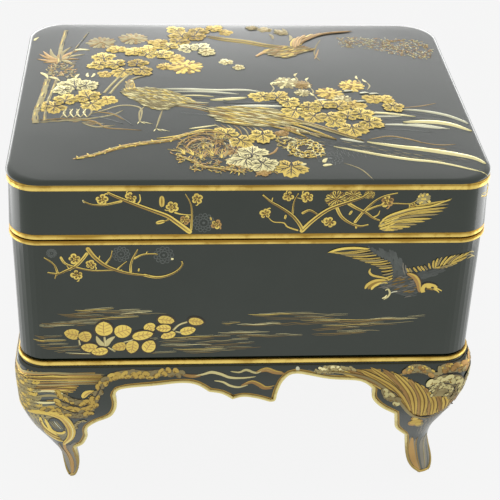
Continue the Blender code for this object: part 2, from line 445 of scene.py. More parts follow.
@dataclass(frozen=True)
class Finish:
    """A metal surface: its colour and what handling has done to it.

    Fields: name; the colour where it is clean and where it is dull; roughness where it is polished and where
    it is dull; metallic; the share of the surface that is dull, from 0 to 1; how deep the grain is; the sheen
    of a clear coat; mirror sheen; waves of cloudiness in a metre; how bright the specks are; whether laid
    strips differ by their own tones.
    """

    name: str
    clean: tuple[float, float, float]
    dull: tuple[float, float, float]
    polished: float
    rough: float
    metallic: float
    dullness: float
    grain: float
    coat: float = 0
    specular: float = 0.5
    cloud_scale: float = 60
    specks: float = 0
    toned: bool = True

    def material(self) -> bpy.types.Material:
        """Builds the material once and returns it."""
        if self.name in bpy.data.materials:
            return bpy.data.materials[self.name]
        made = bpy.data.materials.new(self.name)
        made.use_nodes = True
        sheet = NodeSheet(made.node_tree)
        shader = made.node_tree.nodes["Principled BSDF"]
        wear = sheet.add("ShaderNodeGroup", node_tree=wear_group())
        wear.inputs["Cloud Scale"].default_value = self.cloud_scale
        middle = 0.5 + 0.18 * (1 - 2 * self.dullness)
        dull = sheet.ranged(wear.outputs["Cloud"], middle - CLOUD_EDGE, middle + CLOUD_EDGE, 0, 1)
        if self.toned:
            dull = self._with_tone(sheet, dull)
        colour = sheet.mixed(dull, self.clean, self.dull)
        if self.specks > 0:
            speck = sheet.ranged(wear.outputs["Speck"], 0, 1, 0, self.specks)
            colour = sheet.mixed(speck, colour, tuple(min(1, c * 3 + 0.02) for c in self.clean))
        sheet.link(colour, shader.inputs["Base Color"])
        sheet.link(sheet.ranged(dull, 0, 1, self.polished, self.rough), shader.inputs["Roughness"])
        bump = sheet.add("ShaderNodeBump", {"Strength": self.grain, "Distance": GRAIN_DEPTH})
        sheet.link(wear.outputs["Grain"], bump.inputs["Height"])
        sheet.link(bump.outputs["Normal"], shader.inputs["Normal"])
        shader.inputs["Metallic"].default_value = self.metallic
        shader.inputs["Coat Weight"].default_value = self.coat
        shader.inputs["Coat Roughness"].default_value = COAT_ROUGHNESS
        shader.inputs["Specular IOR Level"].default_value = self.specular
        return made

    @staticmethod
    def _with_tone(sheet: NodeSheet, dull: Socket) -> Socket:
        """Lets each laid strip be brighter or duller than its neighbours, by its own tone."""
        tone = sheet.add("ShaderNodeAttribute", attribute_name="tone")
        both = sheet.add("ShaderNodeMath", operation="MULTIPLY_ADD", use_clamp=True)
        sheet.link(dull, both.inputs[0])
        both.inputs[1].default_value = TONED_SHARE
        sheet.link(tone.outputs["Fac"], both.inputs[2])
        return both.outputs["Value"]


IRON = Finish(
    "patinated_iron", (0.005, 0.0125, 0.0045), (0.007, 0.0145, 0.0065), 0.3, 0.34, 0, 0.45, 0.1, 0.6, 0.35,
    specks=0.12, toned=False,
)
GILT = Finish("gilt_rim", (0.84, 0.63, 0.17), (0.38, 0.23, 0.04), 0.26, 0.42, 1, 0.2, 0.2, cloud_scale=400)
EDGING = Finish(
    "gilt_edging", (0.74, 0.64, 0.27), (0.36, 0.27, 0.09), 0.26, 0.42, 1, 0.2, 0.2, cloud_scale=400
)
INLAY = {
    GOLD: Finish("inlaid_gold", (0.83, 0.64, 0.16), (0.52, 0.37, 0.1), 0.36, 0.55, 1, 0.3, 0.3),
    PALE: Finish("pale_gold", (0.88, 0.8, 0.42), (0.54, 0.48, 0.23), 0.36, 0.55, 1, 0.3, 0.3),
    COPPER: Finish("copper_gold", (0.52, 0.33, 0.12), (0.33, 0.2, 0.075), 0.34, 0.5, 1, 0.4, 0.3),
    BRONZE: Finish("brown_gold", (0.38, 0.25, 0.07), (0.19, 0.12, 0.04), 0.34, 0.5, 1, 0.4, 0.3),
    OLIVE: Finish("green_gold", (0.42, 0.36, 0.17), (0.27, 0.22, 0.11), 0.36, 0.5, 1, 0.4, 0.3),
    SILVER: Finish("inlaid_silver", (0.72, 0.71, 0.52), (0.48, 0.47, 0.32), 0.36, 0.55, 1, 0.3, 0.3),
    TARNISH: Finish("dull_silver", (0.115, 0.127, 0.115), (0.075, 0.082, 0.075), 0.4, 0.5, 0.6, 0.5, 0.3),
    WORN: Finish("worn_metal", (0.25, 0.23, 0.18), (0.16, 0.15, 0.125), 0.42, 0.5, 0.7, 0.5, 0.3),
    LINE: Finish("engraved_line", (0.04, 0.027, 0.012), (0.022, 0.017, 0.009), 0.38, 0.44, 0, 0.5, 0.2),
}


# ------------------------------------------------------------------------------------------------- mesh tools


def new_object(
    name: str, rows: Sequence[Sequence[Vector]], faces: Rows, finish: Finish,
    tones: Sequence[float] = (),
) -> Piece:
    """Makes a smooth-shaded piece that rides on the box.

    Args:
        name: the piece's name.
        rows: rows of its points, in metres.
        faces: its faces, as indices of points.
        finish: its finish.
        tones: how much duller than clean each point is.

    Returns:
        The object.
    """
    mesh = bpy.data.meshes.new(name)
    mesh.from_pydata([tuple(v) for row in rows for v in row], [], [tuple(f) for f in faces])
    mesh.validate()
    mesh.materials.append(finish.material())
    mesh.shade_smooth()
    if tones:
        mesh.attributes.new("tone", "FLOAT", "POINT").data.foreach_set("value", tones)
    made = bpy.data.objects.new(name, mesh)
    bpy.context.scene.collection.objects.link(made)
    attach(made, BODY)
    return made


def between(start: Point, end: Point, stretches: int) -> list[Point]:
    """The points that cut the line from start to end into equal stretches."""
    (ax, ay), (bx, by) = start, end
    return [(ax + (bx - ax) * k / stretches, ay + (by - ay) * k / stretches) for k in range(1, stretches)]


def ring_faces(count: int, rows: int, closed: bool = False) -> list[Row]:
    """Faces that join rows of points, each row a closed ring."""
    return [
        (row * count + i, row * count + j, after * count + j, after * count + i)
        for row, after in ((row, (row + 1) % rows) for row in range(rows if closed else rows - 1))
        for i, j in ((i, (i + 1) % count) for i in range(count))
    ]


def net_faces(rows: int, columns: int) -> list[Row]:
    """Faces that join rows of points, each row an open line."""
    wide = columns + 1
    return [
        (r * wide + j, r * wide + j + 1, (r + 1) * wide + j + 1, (r + 1) * wide + j)
        for r in range(rows)
        for j in range(columns)
    ]


def plan_ring(
    half_length: float, half_depth: float, radius: float, height: float | Callable, straights: int = 1
) -> list[Vector]:
    """The points of a rounded rectangle, anticlockwise from above.

    Args:
        half_length: half its size along X.
        half_depth: half its size along Y.
        radius: the radius of its corners.
        height: its height, or a function of X and Y that gives it.
        straights: stretches along each straight side.

    Returns:
        The points, in metres.
    """
    flat: list[Point] = []
    for turn, (right, back) in enumerate(((1, 1), (-1, 1), (-1, -1), (1, -1))):
        centre = (right * (half_length - radius), back * (half_depth - radius))
        corner = [turned(centre, radius, 90 * (turn + k / CORNER_STEPS)) for k in range(CORNER_STEPS + 1)]
        if flat:
            flat.extend(between(flat[-1], corner[0], straights))
        flat.extend(corner)
    flat.extend(between(flat[-1], flat[0], straights))
    return [Vector((x, y, height(x, y) if callable(height) else height)) * MM for x, y in flat]


class Ornament:
    """Metal laid into one surface.  What is laid is gathered by metal and becomes one piece for each."""

    petal_rim = ((0.72, -1), (0.92, -0.8), (1, 0), (0.92, 0.8), (0.72, 1))
    lobes = ((-126, 0.44), (-64, 0.55), (0, 0.62), (64, 0.55), (126, 0.44))
    lobe_rim = ((0.76, -28), (0.95, -19), (0.87, -13), (1, 0), (0.87, 13), (0.95, 19), (0.76, 28))
    big_leaf = 6.2

    def __init__(self, name: str, surface: Surface, seed: int) -> None:
        """Starts an empty sheet on a surface, with its own random tones."""
        self.name = name
        self.surface = surface
        self.random = random.Random(seed)
        self.parts: dict[Metal, tuple[list, list, list]] = {}
        # The last of these is painted reflection: inlay farther up the surface is made duller, as if hazed by
        # sheen.
        self.shift, self.mirror, self.tone, self.fade = 0, False, 0, 0

    def move(self, shift: float = 0, mirror: bool = False) -> None:
        """Moves what is laid next along the surface, as it is or mirrored."""
        self.shift, self.mirror = shift, mirror

    def build(self) -> list[Piece]:
        """Makes one piece for each metal on the sheet."""
        LOG.info("%s: %d faces", self.name, sum(len(faces) for _, faces, _ in self.parts.values()))
        return [
            new_object(f"{self.name}_{metal.value}", [vertices], faces, INLAY[metal], tones)
            for metal, (vertices, faces, tones) in self.parts.items()
        ]

    def any(self, low: float, high: float) -> float:
        """A random number between two."""
        return self.random.uniform(low, high)

    def _place(self, metal: Metal, spots: Sequence[Row], faces: Sequence[Row]) -> None:
        """Adds points given as (along, up, height) and the faces between them."""
        vertices, all_faces, tones = self.parts.setdefault(metal, ([], [], []))
        start = len(vertices)
        way = -1 if self.mirror else 1
        vertices.extend(self.surface.raised(self.shift + way * s, up, height) for s, up, height in spots)
        all_faces.extend(tuple(start + i for i in f[::way]) for f in faces)
        # Tone: the sheet's own, plus painted reflection haze that grows with height or Y, plus a random step.
        tones.extend([self.tone + self.fade * spots[0][1] + self.any(-0.25, 0.3)] * len(spots))

    def strip(
        self, metal: Metal, path: Path, width: float, taper: Taper = REED, layer: int = 0, steps: int = 4,
        columns: int = 2, rise: float = 0.06,
    ) -> None:
        """Lays one rounded strip along a smooth curve.

        Args:
            metal: what it is made of.
            path: the points that its middle runs through.
            width: its full width.
            taper: how its width runs along it.
            layer: 0 on the iron, more for what lies on other metal.
            steps: stretches between one point and the next.
            columns: faces across it.
            rise: how far its middle stands above its layer.
        """
        curve = smooth_path(path, steps)
        spots = []
        for i, (x, y) in enumerate(curve):
            dx, dy = heading(curve, i)
            half = 0.5 * width * max(taper_width(taper, i / (len(curve) - 1)), 0.04)
            for across in (2 * j / columns - 1 for j in range(columns + 1)):
                height = layer * LEVEL + rise * (1 - across * across) - SUNK
                spots.append((x + dy * half * across, y - dx * half * across, height))
        self._place(metal, spots, net_faces(len(curve) - 1, columns))

    def dark(self, path: Path, width: float, taper: Taper = REED, layer: int = 0, steps: int = 4) -> None:
        """Lays the low dark strip that sets off the metal on it."""
        self.strip(LINE, path, width, taper, layer, steps, rise=0.02)

    def line(self, metal: Metal, path: Path, width: float = 0.35, layer: int = 0, steps: int = 5) -> None:
        """Lays a thin line that is pointed at both ends."""
        self.strip(metal, path, width, REED, layer, steps, rise=0.12 * width)

    def patch(self, metal: Metal, centre: Point, outline: Path, layer: int = 0, rise: float = 0.05) -> None:
        """Lays one filled shape whose anticlockwise outline is all in sight of its centre."""
        count, (cx, cy) = len(outline), centre
        spots = []
        for share in (1, 0.86, 0.5):
            height = layer * LEVEL + rise * (1 - share**4) - SUNK
            spots.extend((cx + (x - cx) * share, cy + (y - cy) * share, height) for x, y in outline)
        faces = ring_faces(count, 3)
        spots.append((cx, cy, layer * LEVEL + rise - SUNK))
        faces.extend((2 * count + i, 2 * count + (i + 1) % count, 3 * count) for i in range(count))
        self._place(metal, spots, faces)

    def disc(
        self, metal: Metal, centre: Point, radius: float, layer: int = 0, stretch: float = 1,
        angle: float = 0, sides: int = 12,
    ) -> None:
        """Lays a round or oval spot, stretched in the direction of an angle."""
        outline = []
        for a in (2 * math.pi * i / sides for i in range(sides)):
            far = turned(centre, radius * stretch * math.cos(a), angle)
            outline.append(turned(far, radius * math.sin(a), angle + 90))
        self.patch(metal, centre, outline, layer)

    def twig(self, path: Path, width: float = 0.8, layer: int = 1, metal: Metal = GOLD) -> None:
        """Lays a twig that narrows from its first point to its last, with a darker line along a thick one."""
        width *= 0.88
        self.dark(path, width + 0.3, TWIG, layer - 1)
        self.strip(metal, path, width, TWIG, layer + 1, columns=4, rise=0.08)
        self.disc(metal, path[0], 0.48 * width, layer + 1, sides=8)
        if width > 0.45:
            self.strip(
                BRONZE, moved(path, -0.06 * width, -0.1 * width), 0.4 * width, REED, layer + 6, rise=0.02
            )
            self.line(LINE, moved(path, 0.1, 0), 0.18 * width, layer + 8)

    def blossom(self, centre: Point, radius: float, metal: Metal = GOLD, turn: float = 20) -> None:
        """Lays a plum blossom: five uneven petals with dark veins, gold grains and a curled tip behind."""
        self.disc(LINE, centre, 0.98 * radius, 0, 1.15, turn, 14)
        for petal in range(5):
            angle = turn + 72 * petal + self.any(-14, 14)
            size = radius * self.any(0.28, 0.42)
            spot = turned(centre, self.any(0.54, 0.74) * radius, angle)
            self.disc(metal if petal % 3 else GOLD, spot, size, 3 + petal % 2, 1.15, angle + 90, 10)
            self.disc(BRONZE, turned(centre, 0.46 * radius, angle), 0.5 * size, 8, 1.2, angle, 8)
            for lean in (-16, 14):
                end = turned(centre, 0.82 * radius, angle + 0.6 * lean)
                self.line(LINE, [turned(centre, 0.2 * radius, angle + lean), end], 0.11 * radius, 11, 2)
        self.disc(BRONZE, centre, 0.3 * radius, 9, sides=9)
        for k in range(4):
            self.disc(
                GOLD, turned(centre, self.any(0.1, 0.42) * radius, turn + 90 * k), 0.1 * radius, 13, sides=6
            )
        tip = turned(centre, 1.18 * radius, turn + 36)
        curl = [turned(centre, 0.7 * radius, turn + 60), tip, turned(tip, 0.3 * radius, turn - 50)]
        self.line(metal, curl, 0.2 * radius, 2, 3)

    def bud(self, centre: Point, angle: float, size: float, metal: Metal = GOLD) -> None:
        """Lays a closed bud, with its tip in the direction of an angle."""
        ends = [turned(centre, -size / 2, angle), turned(centre, size / 2, angle)]
        self.strip(metal, ends, 0.42 * size, ROUND, 2, 8)
        self.line(BRONZE, ends, 0.12 * size, 8, 2)

    def petal(
        self, metal: Metal, centre: Point, reach: float, angle: float, half: float, width: float, layer: int
    ) -> None:
        """Lays the rim of one petal's tip, at an angle plus and minus half of its span, from the centre."""
        rim = [turned(centre, reach * far, angle + lean * half) for far, lean in self.petal_rim]
        self.line(metal, rim, width, layer, 2)

    def ghost(self, centre: Point, radius: float, petals: int = 11) -> None:
        """Lays a flower of which only dull, thin outlines are left."""
        for reach in (1, 0.74, 0.48):
            for k in range(petals):
                angle = 360 * (k + 2 * reach) / petals
                self.petal(TARNISH, centre, reach * radius, angle, 150 / petals, 0.32, 0)
        self.disc(TARNISH, centre, 0.16 * radius, 0, sides=8)

    def chrysanthemum(
        self, centre: Point, radius: float, metal: Metal, other: Metal = BRONZE, petals: int = 16,
        stretch: float = 1, hollow: bool = False,
    ) -> None:
        """Lays a many-petalled flower, its outer ring first and the inner rings on top.

        Args:
            centre: its heart.
            radius: its size.
            metal: the petals that show most.
            other: the metal of every third petal and the heart.
            petals: petals in the outer ring.
            stretch: its height as a share of its width.
            hollow: whether only the edges of the petals are metal.
        """
        self.disc(LINE, centre, 0.9 * radius, 0, sides=16)
        for ring, (inner, outer) in enumerate(((0.42, 1), (0.2, 0.68), (0.05, 0.36))):
            count = max(petals - 4 * ring, 6)
            for i in range(count):
                angle = 360 * (i + 0.5 * ring) / count + self.any(-4, 4)
                reach = outer * self.any(0.86, 1.06)
                shares = (inner, (inner + reach) / 2, reach)
                arms = [turned((0, 0), radius * share, angle) for share in shares]
                path = [(centre[0] + x, centre[1] + y * stretch) for x, y in arms]
                width = 4.3 * radius * outer / count
                self.strip(other if i % 3 == 2 else metal, path, width, PETAL, 2 + 3 * ring, 3, rise=0.05)
                if hollow:
                    self.strip(LINE, path, 0.38 * width, PETAL, 6 + 3 * ring, 3, rise=0.01)
        self.disc(other, centre, 0.14 * radius, 11, sides=8)

    def lobed_leaf(self, middle: Point, angle: float, size: float, metal: Metal, layer: int) -> None:
        """Lays a leaf of five toothed lobes with dark veins and a dark edge, its tip at an angle."""

        def spot(distance: float, turn: float) -> Point:
            """A place at a share of the leaf's size from its middle, turned from the tip's direction."""
            return turned(middle, distance * size, angle + turn)

        outline, tips = [(0.2, -180)], []
        for lean, reach in self.lobes:
            reach *= self.any(0.9, 1.1)
            lean += self.any(-6, 6)
            tips.append((reach, lean))
            outline.extend((share * reach, lean + turn) for share, turn in self.lobe_rim)
        big = size > self.big_leaf
        vein = LINE if big else BRONZE
        self.patch(LINE, middle, [spot(r + 0.22 / size, turn) for r, turn in outline], layer, 0.02)
        self.patch(metal, middle, [spot(r, turn) for r, turn in outline], layer + 2, 0.06)
        for reach, lean in tips:
            fork = spot(0.42 * reach, 0.9 * lean)
            middle_vein = [spot(0.3, 180), spot(0.06, lean), fork, spot(0.86 * reach, lean)]
            self.line(vein, middle_vein, 0.026 * size + 0.12, layer + 7, 2)
            for side in (-1, 1):
                self.line(
                    vein, [fork, spot(0.78 * reach, lean + 18 * side)], 0.02 * size + 0.08, layer + 7, 2
                )
                if big:
                    low = [spot(0.12, lean), spot(0.6 * reach, lean + 22 * side)]
                    self.line(vein, low, 0.02 * size + 0.06, layer + 7, 2)

    def leaves(self, spots: Sequence[Row], metal: Metal) -> None:
        """Lays lobed leaves, each given as (x, y, angle, size) with (x, y) its middle."""
        for k, (x, y, angle, size) in enumerate(spots):
            self.lobed_leaf((x, y), angle, 1.3 * size, metal, 4 * (k % 3))

    def wash(self, metal: Metal, outline: Path, gap: float = 0.8, layer: int = 0) -> None:
        """Fills an area with level strokes that lie close beside each other and follow a curved surface."""
        level = min(y for _, y in outline) + 0.5 * gap
        while level < max(y for _, y in outline):
            cuts = crossings([*outline, outline[0]], level)
            for left, right in zip(cuts[::2], cuts[1::2]):
                start, end = (left, level), (right, level)
                path = [start, *between(start, end, max(int((right - left) / 1.2), 1)), end]
                self.strip(metal, path, 1.25 * gap, EVEN, layer, 1, rise=0.015)
            level += gap

    def moss(
        self, outline: Path, metals: Metals, count: int, length: float, width: float = 0.32, layer: int = 1
    ) -> None:
        """Scatters short curled strokes over an area, every way round.

        Args:
            outline: the edge of the area.
            metals: what the strokes are made of.
            count: how many to try; those that fall outside are left out.
            length: of a stroke.
            width: of a stroke.
            layer: what they lie on.
        """
        left, right = min(x for x, _ in outline), max(x for x, _ in outline)
        low, high = min(y for _, y in outline), max(y for _, y in outline)
        for k in range(count):
            spot = (self.any(left, right), self.any(low, high))
            angle, curl = self.any(0, 360), self.any(-75, 75)
            if inside(spot, outline):
                middle = turned(spot, 0.5 * length, angle)
                path = [spot, middle, turned(middle, 0.5 * length, angle + curl)]
                self.strip(metals[k % len(metals)], path, width, REED, layer + k % 4, 2, rise=0.04)

    def bark(self, path: Path, width: float, layer: int = 1) -> None:
        """Lays a rough branch: a brown ground under short gold and copper strokes that run along it."""
        curve = smooth_path(path, 8)
        self.dark(curve, 1.3 * width, REED, layer - 1, 1)
        self.strip(BRONZE, curve, width, REED, layer + 1, 1, 4)
        for i in range(2, len(curve) - 3):
            for k in range(2):
                across = self.any(-0.36, 0.36) * width
                spots = moved(curve[i : i + 3], 0.3 * across, across)
                self.line((GOLD, COPPER, OLIVE)[(i + k) % 3], spots, 0.3 * width, layer + 6, 2)

    def round_leaf(self, centre: Point, length: float, width: float, angle: float, layer: int) -> None:
        """Lays a rounded leaf with a dark edge and copper veins, its tip in the direction of an angle."""

        def spot(along: float, across: float, grow: float = 0) -> Point:
            """A place at a share of the leaf's half length and half width."""
            return turned(
                turned(centre, along * (length / 2 + grow), angle), across * (width / 2 + grow), angle + 90
            )

        for metal, grow, low, rise in ((LINE, 0.5, 0, 0.02), (GOLD, 0, 2, 0.06)):
            outline = [
                spot(0.98 * math.cos(t), math.sin(t) * (1 - 0.12 * math.cos(t)), grow)
                for t in (math.pi * k / 9 for k in range(18))
            ]
            outline[0] = spot(1.04, 0, grow)
            self.patch(metal, centre, outline, layer + low, rise)
        self.line(COPPER, [spot(-0.95, 0), spot(0, 0.06), spot(0.9, 0)], 0.24, layer + 7, 4)
        for side in (-1, 1):
            for along in (-0.55, -0.1, 0.35):
                vein = [spot(along, 0), spot(along + 0.22, 0.42 * side), spot(along + 0.3, 0.76 * side)]
                self.line(COPPER, vein, 0.18, layer + 7, 3)

    def rill(self, start: Point, end: Point, metal: Metal, width: float) -> None:
        """Lays one nearly level water line with a thinner broken one below it and a bright one above."""
        count = max(int(abs(end[0] - start[0]) / 2.4), 3)
        level = [start, *between(start, end, count), end]
        path = [(x, y + self.any(-0.18, 0.18)) for x, y in level]
        self.line(metal, path, width)
        under = [(x + 0.8, y - 0.42 + self.any(-0.06, 0.06)) for x, y in path[: max(count - 1, 2)]]
        self.line(BRONZE, under, 0.75 * width)
        cut = self.random.randrange(0, count - 1)
        over = [(x, y + 0.4 + self.any(-0.08, 0.08)) for x, y in path[cut : cut + 4]]
        self.line(PALE, over, 0.6 * width)

    def rills(self, lines: Sequence[Row], metals: Metals, width: float) -> None:
        """Lays water lines, each given as (left, its height, right, its height), in the metals' turn."""
        for k, (x0, y0, x1, y1) in enumerate(lines):
            self.rill((x0, y0), (x1, y1), metals[k % len(metals)], width * self.any(0.8, 1.1))

    def grass(self, foot: Point, height: float, lean: float, blades: int, metal: Metal, width: float) -> None:
        """Lays a tuft of grass that fans out from one foot."""
        for i in range(blades):
            share = i / (blades - 1) * 2 - 1
            reach = height * self.any(0.6, 1.05)
            tip = (foot[0] + (lean + share * 0.55) * reach, foot[1] + reach * (1 - 0.3 * abs(share)))
            middle = (foot[0] + (tip[0] - foot[0]) * 0.35, foot[1] + (tip[1] - foot[1]) * 0.6)
            self.strip(metal, [foot, middle, tip], width, TWIG, 1 + i % 3, 3, rise=0.05)

    def bamboo(self, path: Path, width: float, joint: float, metal: Metal) -> None:
        """Lays a bamboo stem in sections, with a swollen ring at each joint."""
        curve = smooth_path(path, 8)
        self.dark(curve, width + 0.5, EVEN, 0, 1)
        section, walked = [curve[0]], 0
        for before, after in zip(curve, curve[1:]):
            walked += math.dist(before, after)
            section.append(after)
            if walked >= joint or after is curve[-1]:
                self.strip(metal, section, width, EVEN, 2, 1, 4, 0.07)
                for k, streak in enumerate((BRONZE, GOLD, LINE, TARNISH)):
                    cut = self.random.randrange(0, max(len(section) - 3, 1))
                    spots = moved(section[cut : cut + 4], (0.3 * k - 0.45) * width, 0)
                    self.line(streak, spots, 0.2 * width, 7, 1)
                self.disc(OLIVE, after, 0.6 * width, 5, 0.4, 90, 8)
                section, walked = [after], 0

    def slim_leaf(
        self, base: Point, angle: float, length: float, width: float, metal: Metal = PALE, layer: int = 2
    ) -> None:
        """Lays one long narrow leaf that bends a little."""
        path = [base, turned(base, 0.5 * length, angle + 6), turned(base, length, angle - 6)]
        self.dark(path, width + 0.35, LEAF, layer - 2, 5)
        self.strip(metal, path, width, LEAF, layer, 5)

    def wing(
        self, roots: Path, tips: Path, count: int, width: float, metals: Metals, bend: float, layer: int = 0
    ) -> None:
        """Lays a fan of long feathers with dark lines between them.

        Args:
            roots: points along the bone that the feathers leave.
            tips: points along the line of their tips, in the same order.
            count: how many feathers.
            width: of one feather.
            metals: what they are made of, in turn.
            bend: how far each bows sideways, as a share of its length.
            layer: what the first one lies on.
        """
        starts, ends = smooth_path(roots, 12), smooth_path(tips, 12)
        for i in range(count):
            share = i / (count - 1)
            start, end = starts[round(share * (len(starts) - 1))], ends[round(share * (len(ends) - 1))]
            dx, dy = end[0] - start[0], end[1] - start[1]
            path = [start, ((start[0] + end[0]) / 2 - dy * bend, (start[1] + end[1]) / 2 + dx * bend), end]
            low = layer + 5 * (i % 3)
            self.dark(path, width + 0.28, FEATHER, low, 5)
            self.strip(metals[i % len(metals)], path, width, FEATHER, low + 2, 5, 4, 0.05)
            self.line(BRONZE, path, 0.24 * width, low + 6, 5)

    def hatch(
        self, outline: Path, metals: Metals, angle: float, size: Point, gap: Point, layer: int = 0
    ) -> None:
        """Covers an area with short strokes in staggered rows, such as feathers or grasses.

        Args:
            outline: the edge of the area.
            metals: what the strokes are made of, in turn; LINE reads as a gap.
            angle: the direction of the strokes, in degrees.
            size: (length, width) of a stroke.
            gap: (along, across) between strokes.
            layer: what they lie on.
        """
        (ax, ay), (bx, by) = turned((0, 0), 1, angle), turned((0, 0), 1, angle + 90)
        flat = [(x * ax + y * ay, x * bx + y * by) for x, y in outline]
        u_low, u_high = min(u for u, _ in flat), max(u for u, _ in flat)
        v, v_high = min(v for _, v in flat) + 0.5 * gap[1], max(v for _, v in flat)
        row = 0
        while v < v_high:
            u = u_low + gap[0] * (0.25 + 0.5 * (row % 2)) - 0.5 * size[0]
            while u < u_high:
                p, q = u + self.any(-0.15, 0.15) * gap[0], v + self.any(-0.12, 0.12) * gap[1]
                if inside((p + 0.5 * size[0], q), flat):
                    length = size[0] * self.any(0.8, 1.15)
                    lean = self.any(-0.06, 0.06) * length
                    spots = ((p, q), (p + length / 2, q + lean), (p + length, q))
                    path = [(a * ax + b * bx, a * ay + b * by) for a, b in spots]
                    metal = metals[self.random.randrange(len(metals))]
                    self.strip(metal, path, size[1], LEAF, layer + row % 2, 2, rise=0.04)
                u += gap[0]
            v += gap[1]
            row += 1

    def plumage(
        self, outline: Path, centre: Point, metals: Metals, angle: float, size: Point, layer: int = 0
    ) -> None:
        """Lays a bird's body: a filled shape in the first metal, covered in small feathers of all of them.

        Args:
            outline: its edge, anticlockwise, all in sight of its centre.
            centre: a point inside it.
            metals: the body's metal and those of the feathers.
            angle: the direction that the feathers point in, in degrees.
            size: (length, width) of a feather.
            layer: what it lies on.
        """
        edge = smooth_path([*outline, outline[0]], 4)[:-1]
        self.patch(metals[0], centre, edge, layer)
        self.hatch(edge, metals, angle, size, (0.8 * size[0], 1.15 * size[1]), layer + 5)

    def foam(self, path: Path, width: float, metal: Metal = PALE, lumps: float = 1, layer: int = 1) -> None:
        """Lays a band of foam or cloud: uneven overlapping lumps, each with painted shadow below and painted
        shade.
        """
        curve = smooth_path(path, 10)
        self.dark(curve, 1.3 * width, REED, layer - 1, 1)
        self.strip(OLIVE, curve, 1.05 * width, REED, layer + 1, 1, 4, 0.05)
        walked, count = 0, 0
        for i in range(1, len(curve) - 1):
            walked += math.dist(curve[i - 1], curve[i])
            if walked < 0.36 * width / lumps:
                continue
            walked, count = 0, count + 1
            dx, dy = heading(curve, i)
            off = (-1) ** count * self.any(0.08, 0.28) * width
            spot = (curve[i][0] + off * dy, curve[i][1] - off * dx)
            angle = math.degrees(math.atan2(dy, dx)) + self.any(-40, 40)
            radius = self.any(0.25, 0.37) * width
            low = layer + 3 + 3 * (count % 3)
            # Painted shadow: a dark disc set a little below each lump shows as a dark crescent under it.
            self.disc(LINE, (spot[0], spot[1] - 0.08), radius + 0.05, low, 1.5, angle, 9)
            self.disc(metal if self.random.random() < 0.7 else OLIVE, spot, radius, low + 2, 1.5, angle, 9)
            # Painted shade: a brown arc along the right-hand side of each lump, below it where the band runs
            # to the right.
            painted_shade_arc = [turned(spot, 0.7 * radius, angle + lean) for lean in (-150, -90, -30)]
            self.line(BRONZE, painted_shade_arc, 0.4 * radius, low + 6, 3)


# ---------------------------------------------------------------------------------------------------- the box


@dataclass
class Plan:
    """The sizes that the pieces share: the plan of the box and the heights of its joints.

    A band is (height of its lower edge, its height, its inset from the plan).
    """

    half_length: float = 62.5
    half_depth: float = 50
    radius: float = 8.2
    stand_top: float = 48.8
    wire: Row = (49.05, 1.55, 0.2)
    body_rim: Row = (87.9, 1.25, 0.1)
    lid_base_rim: Row = (89.45, 1.6, 0.25)
    lid_top_rim: Row = (103.5, 1.95, 0.5)
    body_inset: float = 0.8
    lid_foot_inset: float = 0.3
    lid_head_inset: float = 0.9

    def wall(self, inset: float) -> WallSurface:
        """The straight walls of the box at an inset from the plan."""
        return WallSurface(self.half_length - inset, self.half_depth - inset, self.radius - inset)

    def lid_wall(self) -> WallSurface:
        """The walls of the lid, which lean in a little from its base rim to its top rim."""
        wall = self.wall(self.lid_foot_inset)
        wall.foot = sum(self.lid_base_rim[:2])
        wall.lean = (self.lid_head_inset - self.lid_foot_inset) / (self.lid_top_rim[0] - wall.foot)
        return wall

    def ring(
        self, inset: float, height: float | Callable, radius: float | None = None, straights: int = 1
    ) -> list[Vector]:
        """The plan's outline at an inset and a height."""
        corner = self.radius - inset if radius is None else radius
        return plan_ring(self.half_length - inset, self.half_depth - inset, corner, height, straights)


PLAN = Plan()
TWO_BEADS = (
    (0, 0.35), (0.06, 0.12), (0.22, 0), (0.5, 0.03), (0.68, 0.16), (0.74, 0.24), (0.8, 0.12), (0.9, 0.08),
    (0.96, 0.2), (1, 0.4),
)
ONE_BEAD = ((0, 0.4), (0.05, 0.14), (0.22, 0), (0.5, 0.03), (0.8, 0.12), (0.95, 0.26), (1, 0.45))
GROOVED = (
    (0, 0.3), (0.06, 0.1), (0.25, 0), (0.5, 0.03), (0.66, 0.12), (0.74, 0.2), (0.82, 0.14), (0.92, 0.16),
    (1, 0.4),
)
WIRE = ((0, 0.5), (0.08, 0.22), (0.3, 0.04), (0.5, 0), (0.7, 0.04), (0.92, 0.22), (1, 0.5))


@dataclass
class GiltRim:
    """A gilt band round the box, drawn by its profile: (share of the height, depth below its outermost)."""

    node: str
    sizes: Row
    profile: Path
    width: float = 1.3
    # The share of the height where the band is brightest, a painted highlight.
    crest: float = 0.5
    # How much duller the band grows away from the crest, as painted shade.
    painted_shade: float = 0

    def build(self) -> Piece:
        """Sweeps the profile round the plan."""
        bottom, height, inset = self.sizes
        outline = [(0, self.width), *smooth_path(self.profile, 3), (1, self.width)]
        rings = [PLAN.ring(inset + depth, bottom + height * share, straights=24) for share, depth in outline]
        worn = random.Random(len(self.node))
        wear = [max(worn.uniform(-0.9, 0.45), -0.1) for _ in rings[0]]
        # Painted shade: duller the deeper a point lies in the grooves, and the farther it lies from the
        # painted highlight.
        dullness = [min(3 * depth, 1) + self.painted_shade * abs(share - self.crest) for share, depth in outline]
        tones = [dull + spot for dull in dullness for spot in wear]
        faces = ring_faces(len(rings[0]), len(rings), True)
        piece = new_object(f"gilt_{self.node}", rings, faces, GILT, tones)
        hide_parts(self.node)
        return piece


